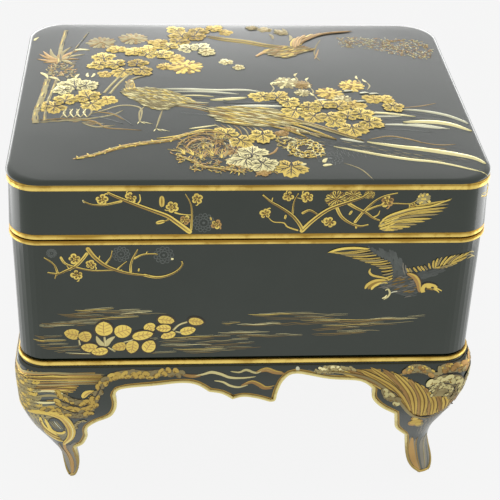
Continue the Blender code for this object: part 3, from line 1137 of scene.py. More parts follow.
@dataclass
class Stand:
    """The scalloped stand on four cabriole feet, with a gilt bead along its cut edge.

    The front edge is (X, height) from foot to foot, and the toes and sides are (Y, height) toward the middle.
    """

    wall: float = 1.6
    flange_inset: float = 0.6
    flange_sink: float = 0.01
    flange_width: float = 7
    flange_thickness: float = 1.5
    spacing: float = 1.3
    seam_stretches: int = 8
    bead_width: float = 0.95
    bead_height: float = 0.42
    corner: float = 61.7
    front: tuple[Path, ...] = (
        ((-50.6, -0.4), (-49.8, 0.3), (-48.8, 1.4), (-48.1, 3.2), (-47.6, 5.6), (-47.4, 8.6), (-48, 14.8)),
        ((-48, 14.8), (-45.8, 16.6), (-44.4, 20.8), (-44.4, 24), (-43.9, 26.1)),
        ((-43.9, 26.1), (-41.5, 28.7), (-37.6, 31.2), (-36, 34), (-35.6, 37), (-36, 39.6)),
        ((-36, 39.6), (-34.2, 42), (-25, 43.1), (-17.6, 43.9), (-13.4, 43.1), (-10.1, 40.6)),
        ((-10.1, 40.6), (-6.6, 39.8), (-3.6, 37.7)), ((-3.6, 37.7), (-0.6, 38.6), (3.2, 37.9), (6.8, 36.5)),
        (
            (6.8, 36.5), (8.3, 37), (8.8, 40.1), (10.4, 44.5), (13.8, 46.5), (23, 44.6), (31.6, 43.7),
            (35.4, 40.8),
        ),
        ((35.4, 40.8), (35.6, 37.2), (38.3, 33.7), (42.6, 30.6)),
        ((42.6, 30.6), (43.2, 26.8), (44.1, 22.8), (47.4, 18.8)),
        ((47.4, 18.8), (48.2, 13.6), (49.1, 8.6), (50.2, 4.8), (51.7, 2.2), (53.4, 0.6), (55, -0.4)),
    )
    left_toe: Path = ((38.6, -0.4), (38, 0.3), (37.2, 1.4), (36.5, 3.2), (36, 5.6), (35.8, 8.6), (36, 15))
    right_toe: Path = ((39.2, -0.4), (38.6, 0.3), (37.6, 1.4), (36.6, 3.2), (36, 5.6), (35.6, 8.6), (36, 15))
    side: tuple[Path, ...] = (
        ((36, 15), (34, 17), (33, 20.8), (33, 24), (32.4, 26.1)),
        ((32.4, 26.1), (30.4, 28.7), (27.2, 31.2), (25.8, 34), (25.6, 37), (26, 39.6)),
        ((26, 39.6), (24.4, 42), (17, 43.2), (10.4, 43.4), (6.6, 40.6)), ((6.6, 40.6), (3.6, 39.8), (0, 37)),
    )

    def __post_init__(self) -> None:
        """Makes the surface that everything on the stand is drawn on, and its whole lower edge."""
        inset = PLAN.body_inset
        self.surface = KneeSurface(PLAN.half_length - inset, PLAN.half_depth - inset, PLAN.radius)
        self.half = self.surface.back_middle()
        self.lower = self._lower_edge()

    @staticmethod
    def _cut(stretches: Sequence[Path], steps: int) -> list[Point]:
        """The points of several smooth stretches that meet in points, cut off where they cross the ground."""
        path = [stretches[0][0], *(spot for stretch in stretches for spot in smooth_path(stretch, steps)[1:])]
        kept = []
        for before, after in zip(path, path[1:]):
            if before[1] >= 0:
                kept.append(before)
            if (before[1] < 0) != (after[1] < 0):
                t = before[1] / (before[1] - after[1])
                kept.append((before[0] + t * (after[0] - before[0]), 0))
        return kept + [spot for spot in path[-1:] if spot[1] >= 0]

    def edges(self, steps: int) -> list[list[Point]]:
        """The cut edge as four paths of (along, up): the front, the right side, the back and the left side.

        Args:
            steps: stretches between one point and the next.

        Returns:
            Four paths, each from foot to foot in the direction of growing along.
        """
        knee = self.surface
        front = self._cut(self.front, steps)
        sides = []
        for side, toe in ((1, self.right_toe), (-1, self.left_toe)):
            half = self._cut([toe, *self.side], steps)
            whole = [(-y, z) for y, z in half] + half[-2::-1]
            sides.append([knee.from_side(y, z, side) for y, z in whole][::side])
        back = [knee.from_front(x, z, back=True) for x, z in reversed(front)]
        back = [(s + 2 * self.half if s < 0 or (s == 0 and k) else s, z) for k, (s, z) in enumerate(back)]
        return [[knee.from_front(x, z) for x, z in front], sides[0], back, sides[1]]

    def _lower_edge(self) -> list[Point]:
        """The whole lower edge, once round from the middle of the back, by the left, front and right."""
        front, right, back, left = self.edges(6)
        right_back = [p for p in back if p[0] <= self.half]
        left_back = [(s - 2 * self.half, z) for s, z in back if s > self.half]
        level = right_back[-1][1]
        return [(-self.half, level), *left_back, *left, *front, *right, *right_back[:-1], (self.half, level)]

    def build(self) -> Piece:
        """Builds the shell, a net of small triangles given thickness inwards, and its flange."""
        lower, half, top = self.lower, self.half, PLAN.stand_top
        start, end = (half, top), (-half, top)
        upper = [start, *between(start, end, int(2 * half / self.spacing)), end]
        rise = between(lower[-1], start, self.seam_stretches)
        fall = between(end, lower[0], self.seam_stretches)
        border = [*lower, *rise, *upper, *fall]
        inner = []
        rows = int(top / self.spacing)
        for row in range(1, rows):
            level, shift = top * row / rows, 0.5 * (row % 2)
            bounds = crossings(lower, level)
            if level >= lower[0][1]:
                bounds = [-half, *bounds, half]
            for left, right in zip(bounds[::2], bounds[1::2]):
                steps = int((right - left) / self.spacing)
                shares = (k + shift for k in range(1, steps) if 0 < k + shift < steps - 0.4)
                inner.extend((left + (right - left) * share / steps, level) for share in shares)
        edges = [(k, (k + 1) % len(border)) for k in range(len(border))]
        points = [Vector(p) for p in [*border, *inner]]
        flat, _, faces, *_ = delaunay_2d_cdt(points, edges, [list(range(len(border)))], 1, 1e-5)
        piece = new_object("iron_stand", [[self.surface.point(p.x, p.y) for p in flat]], faces, IRON)
        piece.modifiers.new("joined", "WELD").merge_threshold = 0.0001
        shell = piece.modifiers.new("wall", "SOLIDIFY")
        shell.thickness, shell.offset, shell.use_even_offset = self.wall * MM, -1, False
        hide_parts("stand")
        self._flange()
        return piece

    def _flange(self) -> None:
        """Builds the flat ring inside the top of the stand, which carries the box."""
        top, low = PLAN.stand_top - self.flange_sink, PLAN.stand_top - self.flange_thickness
        outer, inner = self.flange_inset, PLAN.body_inset + self.flange_width
        outline = ((outer, top), (outer, low), (inner, low), (inner, top))
        rings = [PLAN.ring(inset, height, max(PLAN.radius - inset, outer)) for inset, height in outline]
        new_object("stand_flange", rings, ring_faces(len(rings[0]), len(rings), True), IRON)

    def dress(self) -> None:
        """Lays the gilt bead along the cut edge and the ornament on the knees, the aprons and the feet."""
        sheet = Ornament("stand_inlay", self.surface, 41)
        self.bead(sheet)
        half, corner, middle = self.half, self.corner, self.surface.side_middle()
        self._left_knee(sheet)
        self._right_knee(sheet)
        self._apron(sheet)
        for shift, mirror, knee in (
            (-2 * corner, True, self._left_knee), (2 * corner, True, self._right_knee),
            (half, True, self._right_knee), (-half, True, self._left_knee),
            (2 * corner - half, False, self._left_knee), (half - 2 * corner, False, self._right_knee),
        ):
            sheet.move(shift, mirror)
            knee(sheet)
        for shift, mirror in ((half, True), (middle, False), (-middle, True)):
            sheet.move(shift, mirror)
            self._apron_waves(sheet, shift != half)
        sheet.move()
        for place, side in ((-corner, -1), (corner, 1), (corner - half, 1), (half - corner, -1)):
            self._foot(sheet, place, side)
        sheet.build()

    def _left_knee(self, sheet: Ornament) -> None:
        """Lays the flowing stream, the scales, the foam and the curl on the left knee."""
        self._flow(sheet)
        scales = (
            (-66.6, 45.6), (-66.6, 36), (-65, 33.4), (-60, 32.6), (-57.4, 34.2), (-58.2, 40.8), (-59, 46.8)
        )
        sheet.wash(BRONZE, scales)
        sheet.tone = 0.5
        for row, column in ((row, column) for row in range(9) for column in range(5)):
            spot = (-66 + 1.9 * column + 0.95 * (row % 2), 45.2 - 1.4 * row)
            for k, reach in enumerate((1.15, 0.6) if inside(spot, scales) else ()):
                arc = [turned(spot, reach, angle) for angle in (175, 215, 260, 305, 345)]
                sheet.dark(arc, 0.95, REED, 5 + 2 * k, 3)
                sheet.strip(OLIVE if (row + column) % 3 else GOLD, arc, 0.66, REED, 7 + 2 * k, 3, 2, 0.04)
        sheet.tone = 0
        for k, path in enumerate(
            (
                ((-59, 41.2), (-55, 41.5), (-51.8, 41.2), (-50, 40.2)),
                ((-58.6, 39.3), (-55, 39.9), (-52.6, 39.8), (-50.6, 38.8)),
                ((-59, 37.7), (-56, 37.2), (-52, 37.3)),
                ((-58.8, 35.6), (-56, 35.7), (-53, 35.9), (-50, 34.4)),
            )
        ):
            sheet.line(TARNISH, moved(path, 0, -0.8), 1.2, 0)
            sheet.line((PALE, OLIVE)[k % 2], path, 0.9, 4)
        ground = (
            (-52.6, 41.6), (-57, 34.6), (-51, 30.4), (-45.6, 31), (-41, 36), (-40, 40), (-41.6, 41.6),
            (-44, 38), (-47.6, 38), (-49.4, 40.6),
        )
        sheet.wash(BRONZE, ground)
        sheet.tone = 0.95
        for width, lumps, path in (
            (2.3, 0.9, (
                (-57, 34.2), (-54, 35), (-51.6, 33.8), (-49.4, 32.4), (-46.5, 31.7), (-44, 32.6),
                (-42.4, 34.2),
            )),
            (
                2.5, 0.9,
                ((-53, 38.4), (-50.6, 36.3), (-48.4, 34.6), (-45.8, 34.1), (-43.2, 35.1), (-41.4, 36.6)),
            ),
            (2.5, 0.9, (
                (-52.6, 41.2), (-50, 39.4), (-48, 37.6), (-45.2, 36.9), (-42.2, 37.6), (-40.8, 40.3),
                (-39.4, 43.2),
            )),
            (2.3, 1.2, (
                (-40.4, 42), (-38.6, 44.7), (-36.2, 46.2), (-32, 46.8), (-27, 46.6), (-22, 47.2),
                (-17.6, 46.8),
            )),
        ):
            sheet.foam(path, width, GOLD, lumps, 5)
        sheet.tone = 0
        for path in (
            ((-52.6, 36.6), (-50, 34.6), (-47.4, 33.2), (-44.8, 33.4)),
            ((-50, 38), (-47.6, 36), (-45, 35.6), (-42.8, 36.6)),
            ((-41.9, 38.4), (-40.4, 41.2), (-39.4, 43.8)),
        ):
            sheet.line(LINE, path, 0.4, 18)
        sheet.strip(GOLD, ((-45, 38.8), (-43.8, 40.6), (-41.6, 41.4)), 1.6, LEAF, 4, 5, 4)
        sheet.line(COPPER, ((-44.6, 39.2), (-43.6, 40.4), (-42, 41.2)), 0.4, 9)
        self._curl(sheet)

    @staticmethod
    def _flow(sheet: Ornament) -> None:
        """Lays the brown stream that runs under the top of the knee and gathers toward the apron."""
        area = (
            (-66, 45.6), (-60, 47.4), (-50, 47.9), (-42, 47.6), (-38.6, 46.2), (-40.4, 43.6), (-45.6, 43.4),
            (-47, 41.2), (-49.6, 40), (-52.8, 41.6), (-58.6, 41.6), (-66, 40.6),
        )
        sheet.wash(BRONZE, area, 0.7)
        metals = (OLIVE, COPPER, GOLD, BRONZE, COPPER, GOLD, OLIVE, COPPER)
        sheet.tone = 0.25
        for k in range(14):
            start = 47.2 - 0.44 * k
            end = (-38.8 - 0.22 * k, 46.9 - 0.36 * k)
            if k >= 9:
                end = (-45.6 - 0.5 * (k - 9), 43.2 - 0.55 * (k - 9))
            crest = start + 0.2 + 0.25 * math.sin(1.3 * k)
            path = ((-65.5, start - 1.2), (-60, start), (-54, crest), (-50, start + 0.1), end)
            sheet.strip(metals[k % 8], path, 0.46 if k % 3 else 0.62, REED, 4 + k % 3, 5, 2, 0.05)
            if k % 2:
                sheet.line(LINE, moved(path[:-1], 1.5, -0.22), 0.26, 9)
        sheet.tone = 0

    @staticmethod
    def _curl(sheet: Ornament) -> None:
        """Lays the great curl round its dull panel, low on the left knee."""
        ground = (
            (-60.6, 33.2), (-62, 27), (-60, 21), (-57.2, 16.6), (-53.6, 19.4), (-50.6, 24), (-50, 28),
            (-52, 32.4), (-56, 34),
        )
        sheet.wash(OLIVE, ground, 0.7)
        for k in range(5):
            x, drop = -57.4 - 0.3 * k, 1.4 * k
            path = (
                (x, 31.4 - drop), (x - 0.6, 27.6 - drop), (-57.4, 24.4 - drop), (-55.4, 21.4 - 0.6 * drop)
            )
            sheet.strip((GOLD, BRONZE)[k % 2], path, 1.3 - 0.1 * k, REED, 4 + k % 2, 4, 2, 0.05)
        x, z = centre = (-53.9, 27.2)
        around = [(math.cos(a), math.sin(a)) for a in (math.pi * k / 9 for k in range(18))]
        sheet.patch(LINE, centre, [(x + 2.185 * c, z + 3.85 * s) for c, s in around], 5, 0.02)
        sheet.patch(TARNISH, centre, [(x + 1.9 * c, z + 3.5 * s) for c, s in around], 7, 0.04)
        for k in range(4):
            path = moved(((-0.4, 2.4), (0, 0), (0.5, -2.2)), x - 0.9 + 0.6 * k, z)
            sheet.line(SILVER if k == 2 else OLIVE, path, 0.3, 12)
        hook = ((-56.2, 30.6), (-56.2, 27.6), (-56.3, 24.8), (-55.2, 23), (-53.4, 22.8), (-52.4, 24))
        sheet.strip(GOLD, hook, 1.3, REED, 6, 5, 4, 0.07)
        curl = (
            (-61.2, 32.6), (-57.6, 33.6), (-54, 33), (-51.2, 31), (-50.3, 27.6), (-50.6, 23.6), (-52.6, 19.8),
            (-56.6, 16.2),
        )
        sheet.dark(curl, 3.1, REED, 5, 6)
        sheet.strip(GOLD, curl, 2.6, REED, 8, 6, 4, 0.12)
        sheet.line(COPPER, moved(curl[2:], -0.45, -0.1), 0.5, 15)
        sheet.line(PALE, moved(curl[3:], 0.4, 0), 0.3, 15)
        sheet.foam(((-49, 24.8), (-48.2, 27.4), (-46.8, 28.8), (-45, 29.4)), 1, OLIVE, 1, 2)

    @staticmethod
    def _right_knee(sheet: Ornament) -> None:
        """Lays the great wing, the clouds and the foam on the right knee."""
        ground = (
            (24, 47.2), (32, 45.6), (38, 42), (44, 36.3), (48.4, 31.6), (52, 29), (57, 28.9), (61, 32),
            (62, 36), (60, 40), (53.6, 38.2), (49.4, 41.6), (44, 45), (38.6, 46.8), (32, 47.3),
        )
        sheet.wash(BRONZE, ground)
        roots = ((47.4, 33.4), (49.4, 31.2), (52, 29.7), (55, 29.6), (58, 31), (60.6, 33.8))
        tips = (
            (24.6, 47.5), (30, 47.2), (35.4, 47.9), (40, 46.7), (44, 44.7), (47, 43), (49.6, 41.4),
            (51.8, 39.2), (54.2, 38), (57.2, 37.6), (60.6, 38),
        )
        sheet.tone = 0.6
        sheet.wing(roots, tips, 17, 1.75, (GOLD, COPPER, GOLD), -0.07, 3)
        edge = (
            (22, 47), (32, 45.3), (38, 41.7), (44, 36.1), (48.4, 31.4), (52, 28.9), (56, 28.7), (60.6, 32)
        )
        sheet.strip(OLIVE, edge, 0.9, REED, 19, 6, 4, 0.08)
        sheet.line(BRONZE, moved(edge, 0.4, 0.3), 0.25, 25)
        scroll = ((51, 41.6), (53.6, 43.6), (58.6, 43.2), (61.4, 39), (60.6, 35), (56.4, 37.6), (53.2, 38.2))
        sheet.wash(OLIVE, scroll, 0.7, 17)
        for width, metal, path in (
            (2.2, COPPER, ((43, 45.9), (45.6, 47.1), (48.6, 47.3), (51, 46.2), (53, 44.8))),
            (1.1, GOLD, ((43.8, 46.6), (46.6, 47.9), (50, 47.6), (52, 46.2))),
            (2.4, COPPER, ((53.4, 45.6), (55, 47.2), (58.4, 47.4), (62, 46.6), (64.6, 46))),
            (1.1, GOLD, ((54.2, 47), (57, 48), (61, 47.4))),
            (2.7, PALE, ((50.6, 41.6), (52.8, 43.5), (56, 44.1), (59, 43.3), (61, 40.6), (61.4, 37))),
            (1.5, PALE, ((53.4, 37.6), (53.2, 39.8), (54.8, 41.5), (57.2, 41.1), (58, 39.2), (56.4, 38))),
            (1.1, PALE, ((51.8, 39.6), (53, 41.6), (55, 42.6))),
            (1, OLIVE, ((58.8, 41.6), (59.6, 39), (59, 36.6))),
            (2.5, PALE, ((38.2, 41), (39.8, 39.2), (42, 37.4), (44.6, 35))),
            (1.4, OLIVE, ((39, 38.4), (41, 37), (43, 36))),
        ):
            sheet.foam(path, width, metal, 0.8, 19)
        sheet.tone = 0
        sheet.strip(TARNISH, ((55, 45.4), (58, 45.9), (62, 44.8)), 1.2, REED, 1)
        sheet.wash(WORN, ((53, 28), (62, 29), (63, 24), (61, 18.4), (56.4, 18.2), (56, 22.4)), 0.7)
        sheet.tone = 0.6
        for k, (metal, x, z, radius) in enumerate(
            (
                (COPPER, 53.4, 25.6, 1.9), (COPPER, 52.2, 28.2, 1.2), (OLIVE, 55.2, 24.6, 1.2),
                (GOLD, 53.2, 26, 1.45), (GOLD, 52.4, 28, 0.9), (GOLD, 54.6, 25, 0.9),
            )
        ):
            sheet.disc(metal, (x, z), radius, 3 + 2 * k, 1.15, 60 * k)
        sheet.tone = 0

    def _apron(self, sheet: Ornament) -> None:
        """Lays the waves between the two front knees."""
        self._apron_waves(sheet, False)
        sheet.foam(((18.6, 47), (22, 46.8), (26, 47.4), (30, 47.6)), 1.4, OLIVE)
        sheet.foam(((20, 47.5), (24, 47.9), (27, 47.6)), 1.2, PALE)
        sheet.line(TARNISH, ((17, 47.6), (21, 46.2), (26, 45.9)), 0.5, 1)
        sheet.disc(SILVER, (14.2, 47.7), 0.55, 2, 1.2, 80)

    @staticmethod
    def _apron_waves(sheet: Ornament, short: bool) -> None:
        """Lays the waving lines, only the upper ones where the apron is short."""
        waves = (
            (0.7, PALE, ((-8.8, 44.4), (-6.4, 43.9), (-4.4, 42.6), (-2, 42), (0.6, 42.8))),
            (1.3, COPPER, ((-1.4, 42.5), (1.4, 43.8), (3.4, 42.9), (5, 41.6), (7.4, 41.5))),
            (0.5, GOLD, ((-0.4, 43.3), (1.6, 44.1), (3.6, 43.3), (5.6, 42), (8, 42.4))),
            (
                0.8, PALE,
                ((-15, 45.9), (-12, 46.5), (-9.6, 47.1), (-7, 46.5), (-4.4, 45.4), (-1, 45.2), (2.6, 45.6)),
            ),
            (1, COPPER, ((-18, 46.6), (-15, 46), (-12.4, 46.2))),
            (0.6, PALE, ((-4.4, 47.3), (-2, 47), (0, 47.6), (2.6, 46.8), (5, 47.6), (7.4, 47))),
            (1.1, COPPER, ((2.6, 46.9), (5.4, 47.6), (8, 46.8), (10.6, 46.4))),
            (0.4, GOLD, ((3, 47.3), (5.6, 48), (8.2, 47.2), (10, 46.9))),
        )
        sheet.tone = 0.7
        for width, metal, path in waves[3:] if short else waves:
            sheet.dark(path, width + 0.5, steps=6)
            sheet.strip(metal, path, width, REED, 3, 6, rise=0.05)
        sheet.tone = 0

    def _foot(self, sheet: Ornament, place: float, side: int) -> None:
        """Lays the worn, greyed metal down one foot, with a few coloured streaks."""
        levels = (16.93, 14.03, 11.07, 8.07, 5.07, 2.63, 1.03)
        bounds = []
        for level in levels:
            cuts = crossings(self.lower, level)
            ends = (max(c for c in cuts if c < place) + 1, min(c for c in cuts if c > place) - 1)
            bounds.append(ends[::-side])

        def down(share: float) -> list[Point]:
            """The path down the foot at a share of its width, counted from the side to the front."""
            return [(a + (b - a) * share, level) for (a, b), level in zip(bounds, levels)]

        count = 9
        for k in range(count):
            path = down((k + 0.5) / count)
            path[0] = (path[0][0], path[0][1] + 1.2 * math.sin(2.4 * k))
            sheet.strip((WORN, WORN, TARNISH, WORN)[k % 4], path, 1.9, REED, k % 3, 3, rise=0.04)
        streaks = ((0.92, 2, COPPER), (0.8, 0.7, BRONZE), (0.5, 0.4, OLIVE), (0.05, 0.9, BRONZE))
        for share, width, metal in streaks if side > 0 else ((0.78, 1.8, COPPER), (0.66, 0.6, BRONZE)):
            sheet.strip(metal, down(share), width, REED, 6, 3, rise=0.05)
        if side > 0:
            start, end = sorted(bounds[-1])
            sheet.tone = 0.9
            sheet.strip(GOLD, ((start - 0.4, 0.5), (end + 0.4, 0.5)), 0.9, EVEN, 9, 6, rise=0.2)
            sheet.tone = 0

    @staticmethod
    def _beside(path: Path, shift: float) -> list[Point]:
        """A path moved to its left, up onto the metal."""
        ways = (heading(path, i) for i in range(len(path)))
        return [(x - dy * shift, max(y + dx * shift, 0)) for (x, y), (dx, dy) in zip(path, ways)]

    def bead(self, sheet: Ornament) -> None:
        """Sweeps the half-round gilt bead along the cut edge, and lays a brown line beside it."""
        half = self.bead_width / 2
        angles = [math.pi * k / 6 for k in range(1, 6)]
        arc = [(-half * math.cos(a), self.bead_height * math.sin(a)) for a in angles]
        profile = [(-half, -0.5), (-half - 0.03, 0), *arc, (half, 0), (half, -0.1)]
        rows, tones, faces, start = [], [], [], 0
        for path in self.edges(5):
            for across, height in profile:
                line = self._beside(path, half - 0.08 + across)
                rows.append([self.surface.raised(x, y, height) for x, y in line])
                # Painted shade: the bead is duller on its half toward the metal; it also grows duller below
                # 16 mm, down the feet.
                tones.extend(max(1.6 * across, 0) + min(max((16 - y) / 6, 0), 1.3) for _, y in line)
            net = net_faces(len(profile) - 1, len(path) - 1)
            faces.extend([start + face[k] for k in (0, 3, 2, 1)] for face in net)
            start += len(profile) * len(path)
            sheet.strip(BRONZE, self._beside(path, self.bead_width + 0.15)[::2], 0.4, EVEN, 2, 1, rise=0.02)
        new_object("gilt_edging", rows, faces, EDGING, tones)


@dataclass
class Box:
    """The straight-sided iron box and the inlay on its walls.

    Branches and stems are (width, path), blossoms and ghosts (X, height, radius), water lines (left, its
    height, right, its height), and pads (X, height, length, width, angle).
    """

    branches: Strokes = (
        (0.75, ((-48.8, 83.9), (-47.7, 82), (-44.7, 80.7), (-40.8, 79.8), (-36.9, 79.8), (-33.2, 79.9))),
        (1, ((-42.1, 85), (-44.7, 81.6), (-47.7, 79.8), (-49.8, 78.9), (-52.4, 79.3))),
        (0.7, ((-49.8, 78.9), (-50.7, 81.8), (-53.1, 83.9))), (0.6, ((-50, 79), (-50.6, 77.4))),
        (0.6, ((-37.3, 82), (-36, 83.9), (-35.6, 85.9))), (0.55, ((-34.3, 80.3), (-31.9, 82.6))),
        (0.75, ((-31, 79.2), (-30.8, 82.2), (-29.5, 85.2), (-29, 86.2))),
        (0.65, ((-29.9, 83.5), (-27.8, 84.6), (-24.7, 84.8), (-24, 84.6))),
        (0.4, ((-27, 84.7), (-26.6, 85.6))), (0.5, ((-39.3, 82.8), (-38.8, 84.4))),
        (0.45, ((-46.6, 80), (-47.4, 81.3))),
        (1.35, ((-41.8, 86.5), (-40.1, 83.9), (-37.3, 81.3), (-33.8, 79.6), (-30.4, 78.7), (-26, 78.1))),
        (0.9, ((-27.5, 78.3), (-24.5, 77.6), (-21.7, 78), (-19.1, 79.4), (-17.6, 81.3), (-17.8, 82.6))),
    )
    blossoms: Rows = ((-45.3, 83.5, 1.6), (-41.2, 81.6, 1.5), (-44.9, 78.5, 1.6))
    ghosts: Rows = ((-33.4, 84.8, 2.3), (-22.4, 84.4, 2.6), (-51.1, 85.2, 1.3))
    left_water: Rows = (
        (-46, 67.2, -35.6, 67.6), (-40, 67, -28.5, 67.2), (-50.5, 66, -37.5, 66.5), (-39.5, 66.4, -21.7, 66),
        (-34, 65.9, -25.5, 66.7), (-48.8, 65.3, -35.6, 65.1), (-42, 64.4, -29, 65), (-49.8, 63.5, -39, 63.8),
        (-55, 63, -44, 63), (-46.5, 62.6, -38.5, 63.2), (-55.5, 62.3, -46, 62.3), (-57, 58.7, -49.5, 58.8),
        (-57.5, 57.4, -48.5, 57.3), (-56.5, 56, -48, 56.3), (-55, 54.9, -45, 55.2), (-52, 54, -44.5, 54),
        (-49, 53.2, -38, 52.9),
    )
    middle_water: Rows = (
        (-22, 58, -9, 58.3), (-24, 56.8, -12, 57.3), (-17, 57.6, -4.5, 58.2), (-14, 56.4, 0.5, 57.2),
        (-23.5, 55.4, -9.5, 55.6), (-12.5, 55.2, 2, 55.9), (-20, 54.1, -6, 54.2), (-17.5, 53.2, -3, 53.7),
        (-6, 54.3, 4, 54.5), (-28, 53.2, -19, 53), (-31, 57.4, -24, 57.6), (-3, 58.3, 6, 58.4),
        (-7, 62.6, -2, 62.6),
    )
    right_water: Rows = (
        (0, 65.4, 12.5, 65.3), (7, 65.7, 23, 65.2), (4.3, 64.1, 23.4, 64.2), (15, 64.6, 27, 64.8),
        (-3, 62.1, 9, 62.2), (2.2, 62.2, 30, 62.7), (14, 63.2, 33, 63.4), (27.7, 62.9, 48, 64.1),
        (24, 62.2, 40, 63.6), (29, 61.6, 45, 62.4), (33, 63.5, 46, 63.6), (17.3, 60.3, 30.3, 60.6),
        (20, 61.3, 36, 61.7), (24, 59.3, 36, 59.7), (17.3, 58.5, 32.5, 59.1), (0, 58.5, 15, 58.3),
        (-8, 59.4, 6, 59.6),
    )
    pads: Rows = (
        (-46.8, 59.5, 4.4, 3.4, 165), (-43.5, 58.7, 3.4, 3.5, 285), (-38.4, 61.2, 4.6, 4.6, 90),
        (-33.4, 60.3, 4.7, 4.2, 20), (-42.3, 54.9, 4.7, 2.9, 170), (-39.7, 53.7, 4.4, 2.5, 190),
        (-34.2, 55.2, 4.4, 2.7, 190), (-31, 55.1, 4.2, 3.4, 260), (-28.2, 58.9, 5.6, 2.8, 12),
        (-26.2, 61.4, 3, 3.2, 300), (-21.9, 63.8, 4.4, 2.8, 350), (-22.5, 61.2, 3.9, 2.4, 180),
        (-21.3, 58.8, 4.1, 2.3, 200), (-26.5, 55.2, 4.2, 3.6, 60), (-13.9, 63.3, 4, 2.4, 350),
        (-16.1, 60.2, 4.3, 2.6, 15),
    )
    stems: Strokes = (
        (0.7, ((-38.4, 59.2), (-38.3, 57), (-38.3, 55.2))), (0.6, ((-45.2, 57.6), (-45, 55.8))),
        (0.7, ((-33.2, 56.6), (-31.4, 57.2), (-29.6, 58))), (0.7, ((-20, 60.4), (-18.4, 62.2), (-16, 63.2))),
        (0.6, ((-17.8, 59.6), (-19.4, 60))), (0.6, ((-36, 54), (-37.6, 55), (-35.6, 53.6))),
    )
    water_metals: Metals = (GOLD, OLIVE, BRONZE, OLIVE, PALE, BRONZE)

    def dress(self) -> None:
        """Lays the plants, the water and the goose on the front, and plainer sprays on the other walls."""
        sheet = Ornament("box_inlay", PLAN.wall(PLAN.body_inset), 17)
        self._spray(sheet)
        sheet.tone = 0.3
        sheet.rills(self.left_water, self.water_metals, 0.27)
        sheet.rills(self.middle_water, self.water_metals, 0.27)
        sheet.rills(self.right_water, self.water_metals, 0.27)
        sheet.tone = 0
        self._pond_plants(sheet)
        self._goose(sheet)
        side, back = sheet.surface.side_middle(), sheet.surface.back_middle()
        for shift, mirror in ((side + 22, False), (-side - 18, True), (back + 6, False)):
            sheet.move(shift, mirror)
            self._spray(sheet)
        for shift in (side, -side, back):
            sheet.move(shift)
            sheet.rills([line for line in self.right_water if line[2] < 40][::2], self.water_metals, 0.32)
            sheet.move(shift + (12 if shift > 0 else -2))
            sheet.rills(self.left_water[1:12:3], self.water_metals, 0.32)
        sheet.move(back + 22)
        self._pond_plants(sheet)
        sheet.build()

    def _spray(self, sheet: Ornament) -> None:
        """Lays one flowering branch that hangs from the upper edge."""
        for x, y, radius in self.ghosts:
            sheet.ghost((x, y), radius)
        for k, (width, path) in enumerate(self.branches):
            sheet.twig(path, width, 1 if k < 11 else 6)
        for x, y, radius in self.blossoms:
            sheet.blossom((x, y), radius, turn=18 + 11 * x)
        sheet.bud((-28.9, 79.9), 80, 1)
        sheet.disc(PALE, (-20.2, 83.2), 0.35, 1)

    def _pond_plants(self, sheet: Ornament) -> None:
        """Lays the clump of round-leaved water plants."""
        for width, path in self.stems:
            sheet.dark(path, width + 0.4, EVEN)
            sheet.strip(OLIVE, path, 0.85 * width, EVEN, 3, rise=0.05)
            sheet.line(PALE, moved(path, 0.1, 0.1), 0.3 * width, 7)
        sheet.tone = 0.5
        sheet.slim_leaf((-38.3, 55.3), 128, 4.2, 1.4, PALE, 3)
        sheet.slim_leaf((-38.1, 55.3), 58, 4.2, 1.4, PALE, 3)
        sheet.tone = 0
        for k, (x, y, length, width, angle) in enumerate(self.pads):
            sheet.round_leaf((x, y), length, width, angle, 4 * (k % 3))

    @staticmethod
    def _goose(sheet: Ornament) -> None:
        """Lays the goose that flies to the right with raised wings."""
        covert = (
            (30.8, 85.9), (34.1, 85.5), (38.1, 84.1), (40.2, 81.6), (40.5, 78.9), (41.4, 77.5), (39, 75.4),
            (37.9, 76.7), (37.6, 79.9), (37.2, 81.3), (34.1, 83.1), (32.3, 84.5),
        )
        sheet.tone = 0.3
        sheet.hatch(covert, (TARNISH,), 290, (2.6, 0.9), (1.4, 0.6))
        patch = ((43.6, 77.9), (47.6, 79), (52, 79.4), (49, 77.2), (45.6, 76.2))
        sheet.hatch(patch, (TARNISH,), 20, (2.2, 0.7), (1.2, 0.5))
        body = (
            (34.7, 74.8), (35.6, 73.4), (38.1, 72.3), (40.5, 71.3), (43.2, 70.6), (45.1, 71.9), (44.8, 74),
            (42.9, 76.7), (41.4, 77.5), (37.9, 76.8), (35, 75.8),
        )
        sheet.plumage(body, (40.4, 74.4), (TARNISH, TARNISH, WORN, BRONZE), 195, (2.2, 0.4), 2)
        sheet.tone = 0.1
        tips = (
            (20.3, 84.9), (22.9, 84.5), (25, 83.8), (28.4, 82.5), (30.8, 81.4), (33.2, 80.5), (34.5, 79.1),
            (35.2, 77.4), (36.6, 76),
        )
        roots = (
            (30.8, 85.8), (32, 84.9), (33.8, 83.3), (35.7, 82.4), (37.2, 81.3), (37.6, 79.9), (37.9, 78.4),
            (37.9, 76.8),
        )
        sheet.wing(roots, tips, 14, 0.42, (GOLD, GOLD, OLIVE), 0.05, 3)
        sheet.strip(GOLD, ((21, 85), (25, 86), (30.8, 85.9)), 0.5, REED, 4)
        for lean in (0, 0.7):
            sheet.line(WORN, ((40.3 + lean, 81.6 - lean), (40.5 + lean, 79.6), (41.2 + lean, 77.6)), 0.35, 6)
        sheet.line(GOLD, ((20.2, 84.9), (23, 86), (27, 86.4), (31.2, 86)), 0.5, 15)
        roots = ((42.2, 78.5), (45, 78.8), (47.3, 79.4), (49, 80), (50.6, 80.2), (52.2, 80.6), (54.4, 82))
        tips = (
            (41.4, 79.8), (43.8, 80.3), (46.4, 80.9), (49.4, 82.9), (52.6, 83.6), (55.4, 84.1), (57.8, 84.2)
        )
        sheet.wing(roots, tips, 17, 0.5, (GOLD, OLIVE, GOLD, GOLD), 0.04, 3)
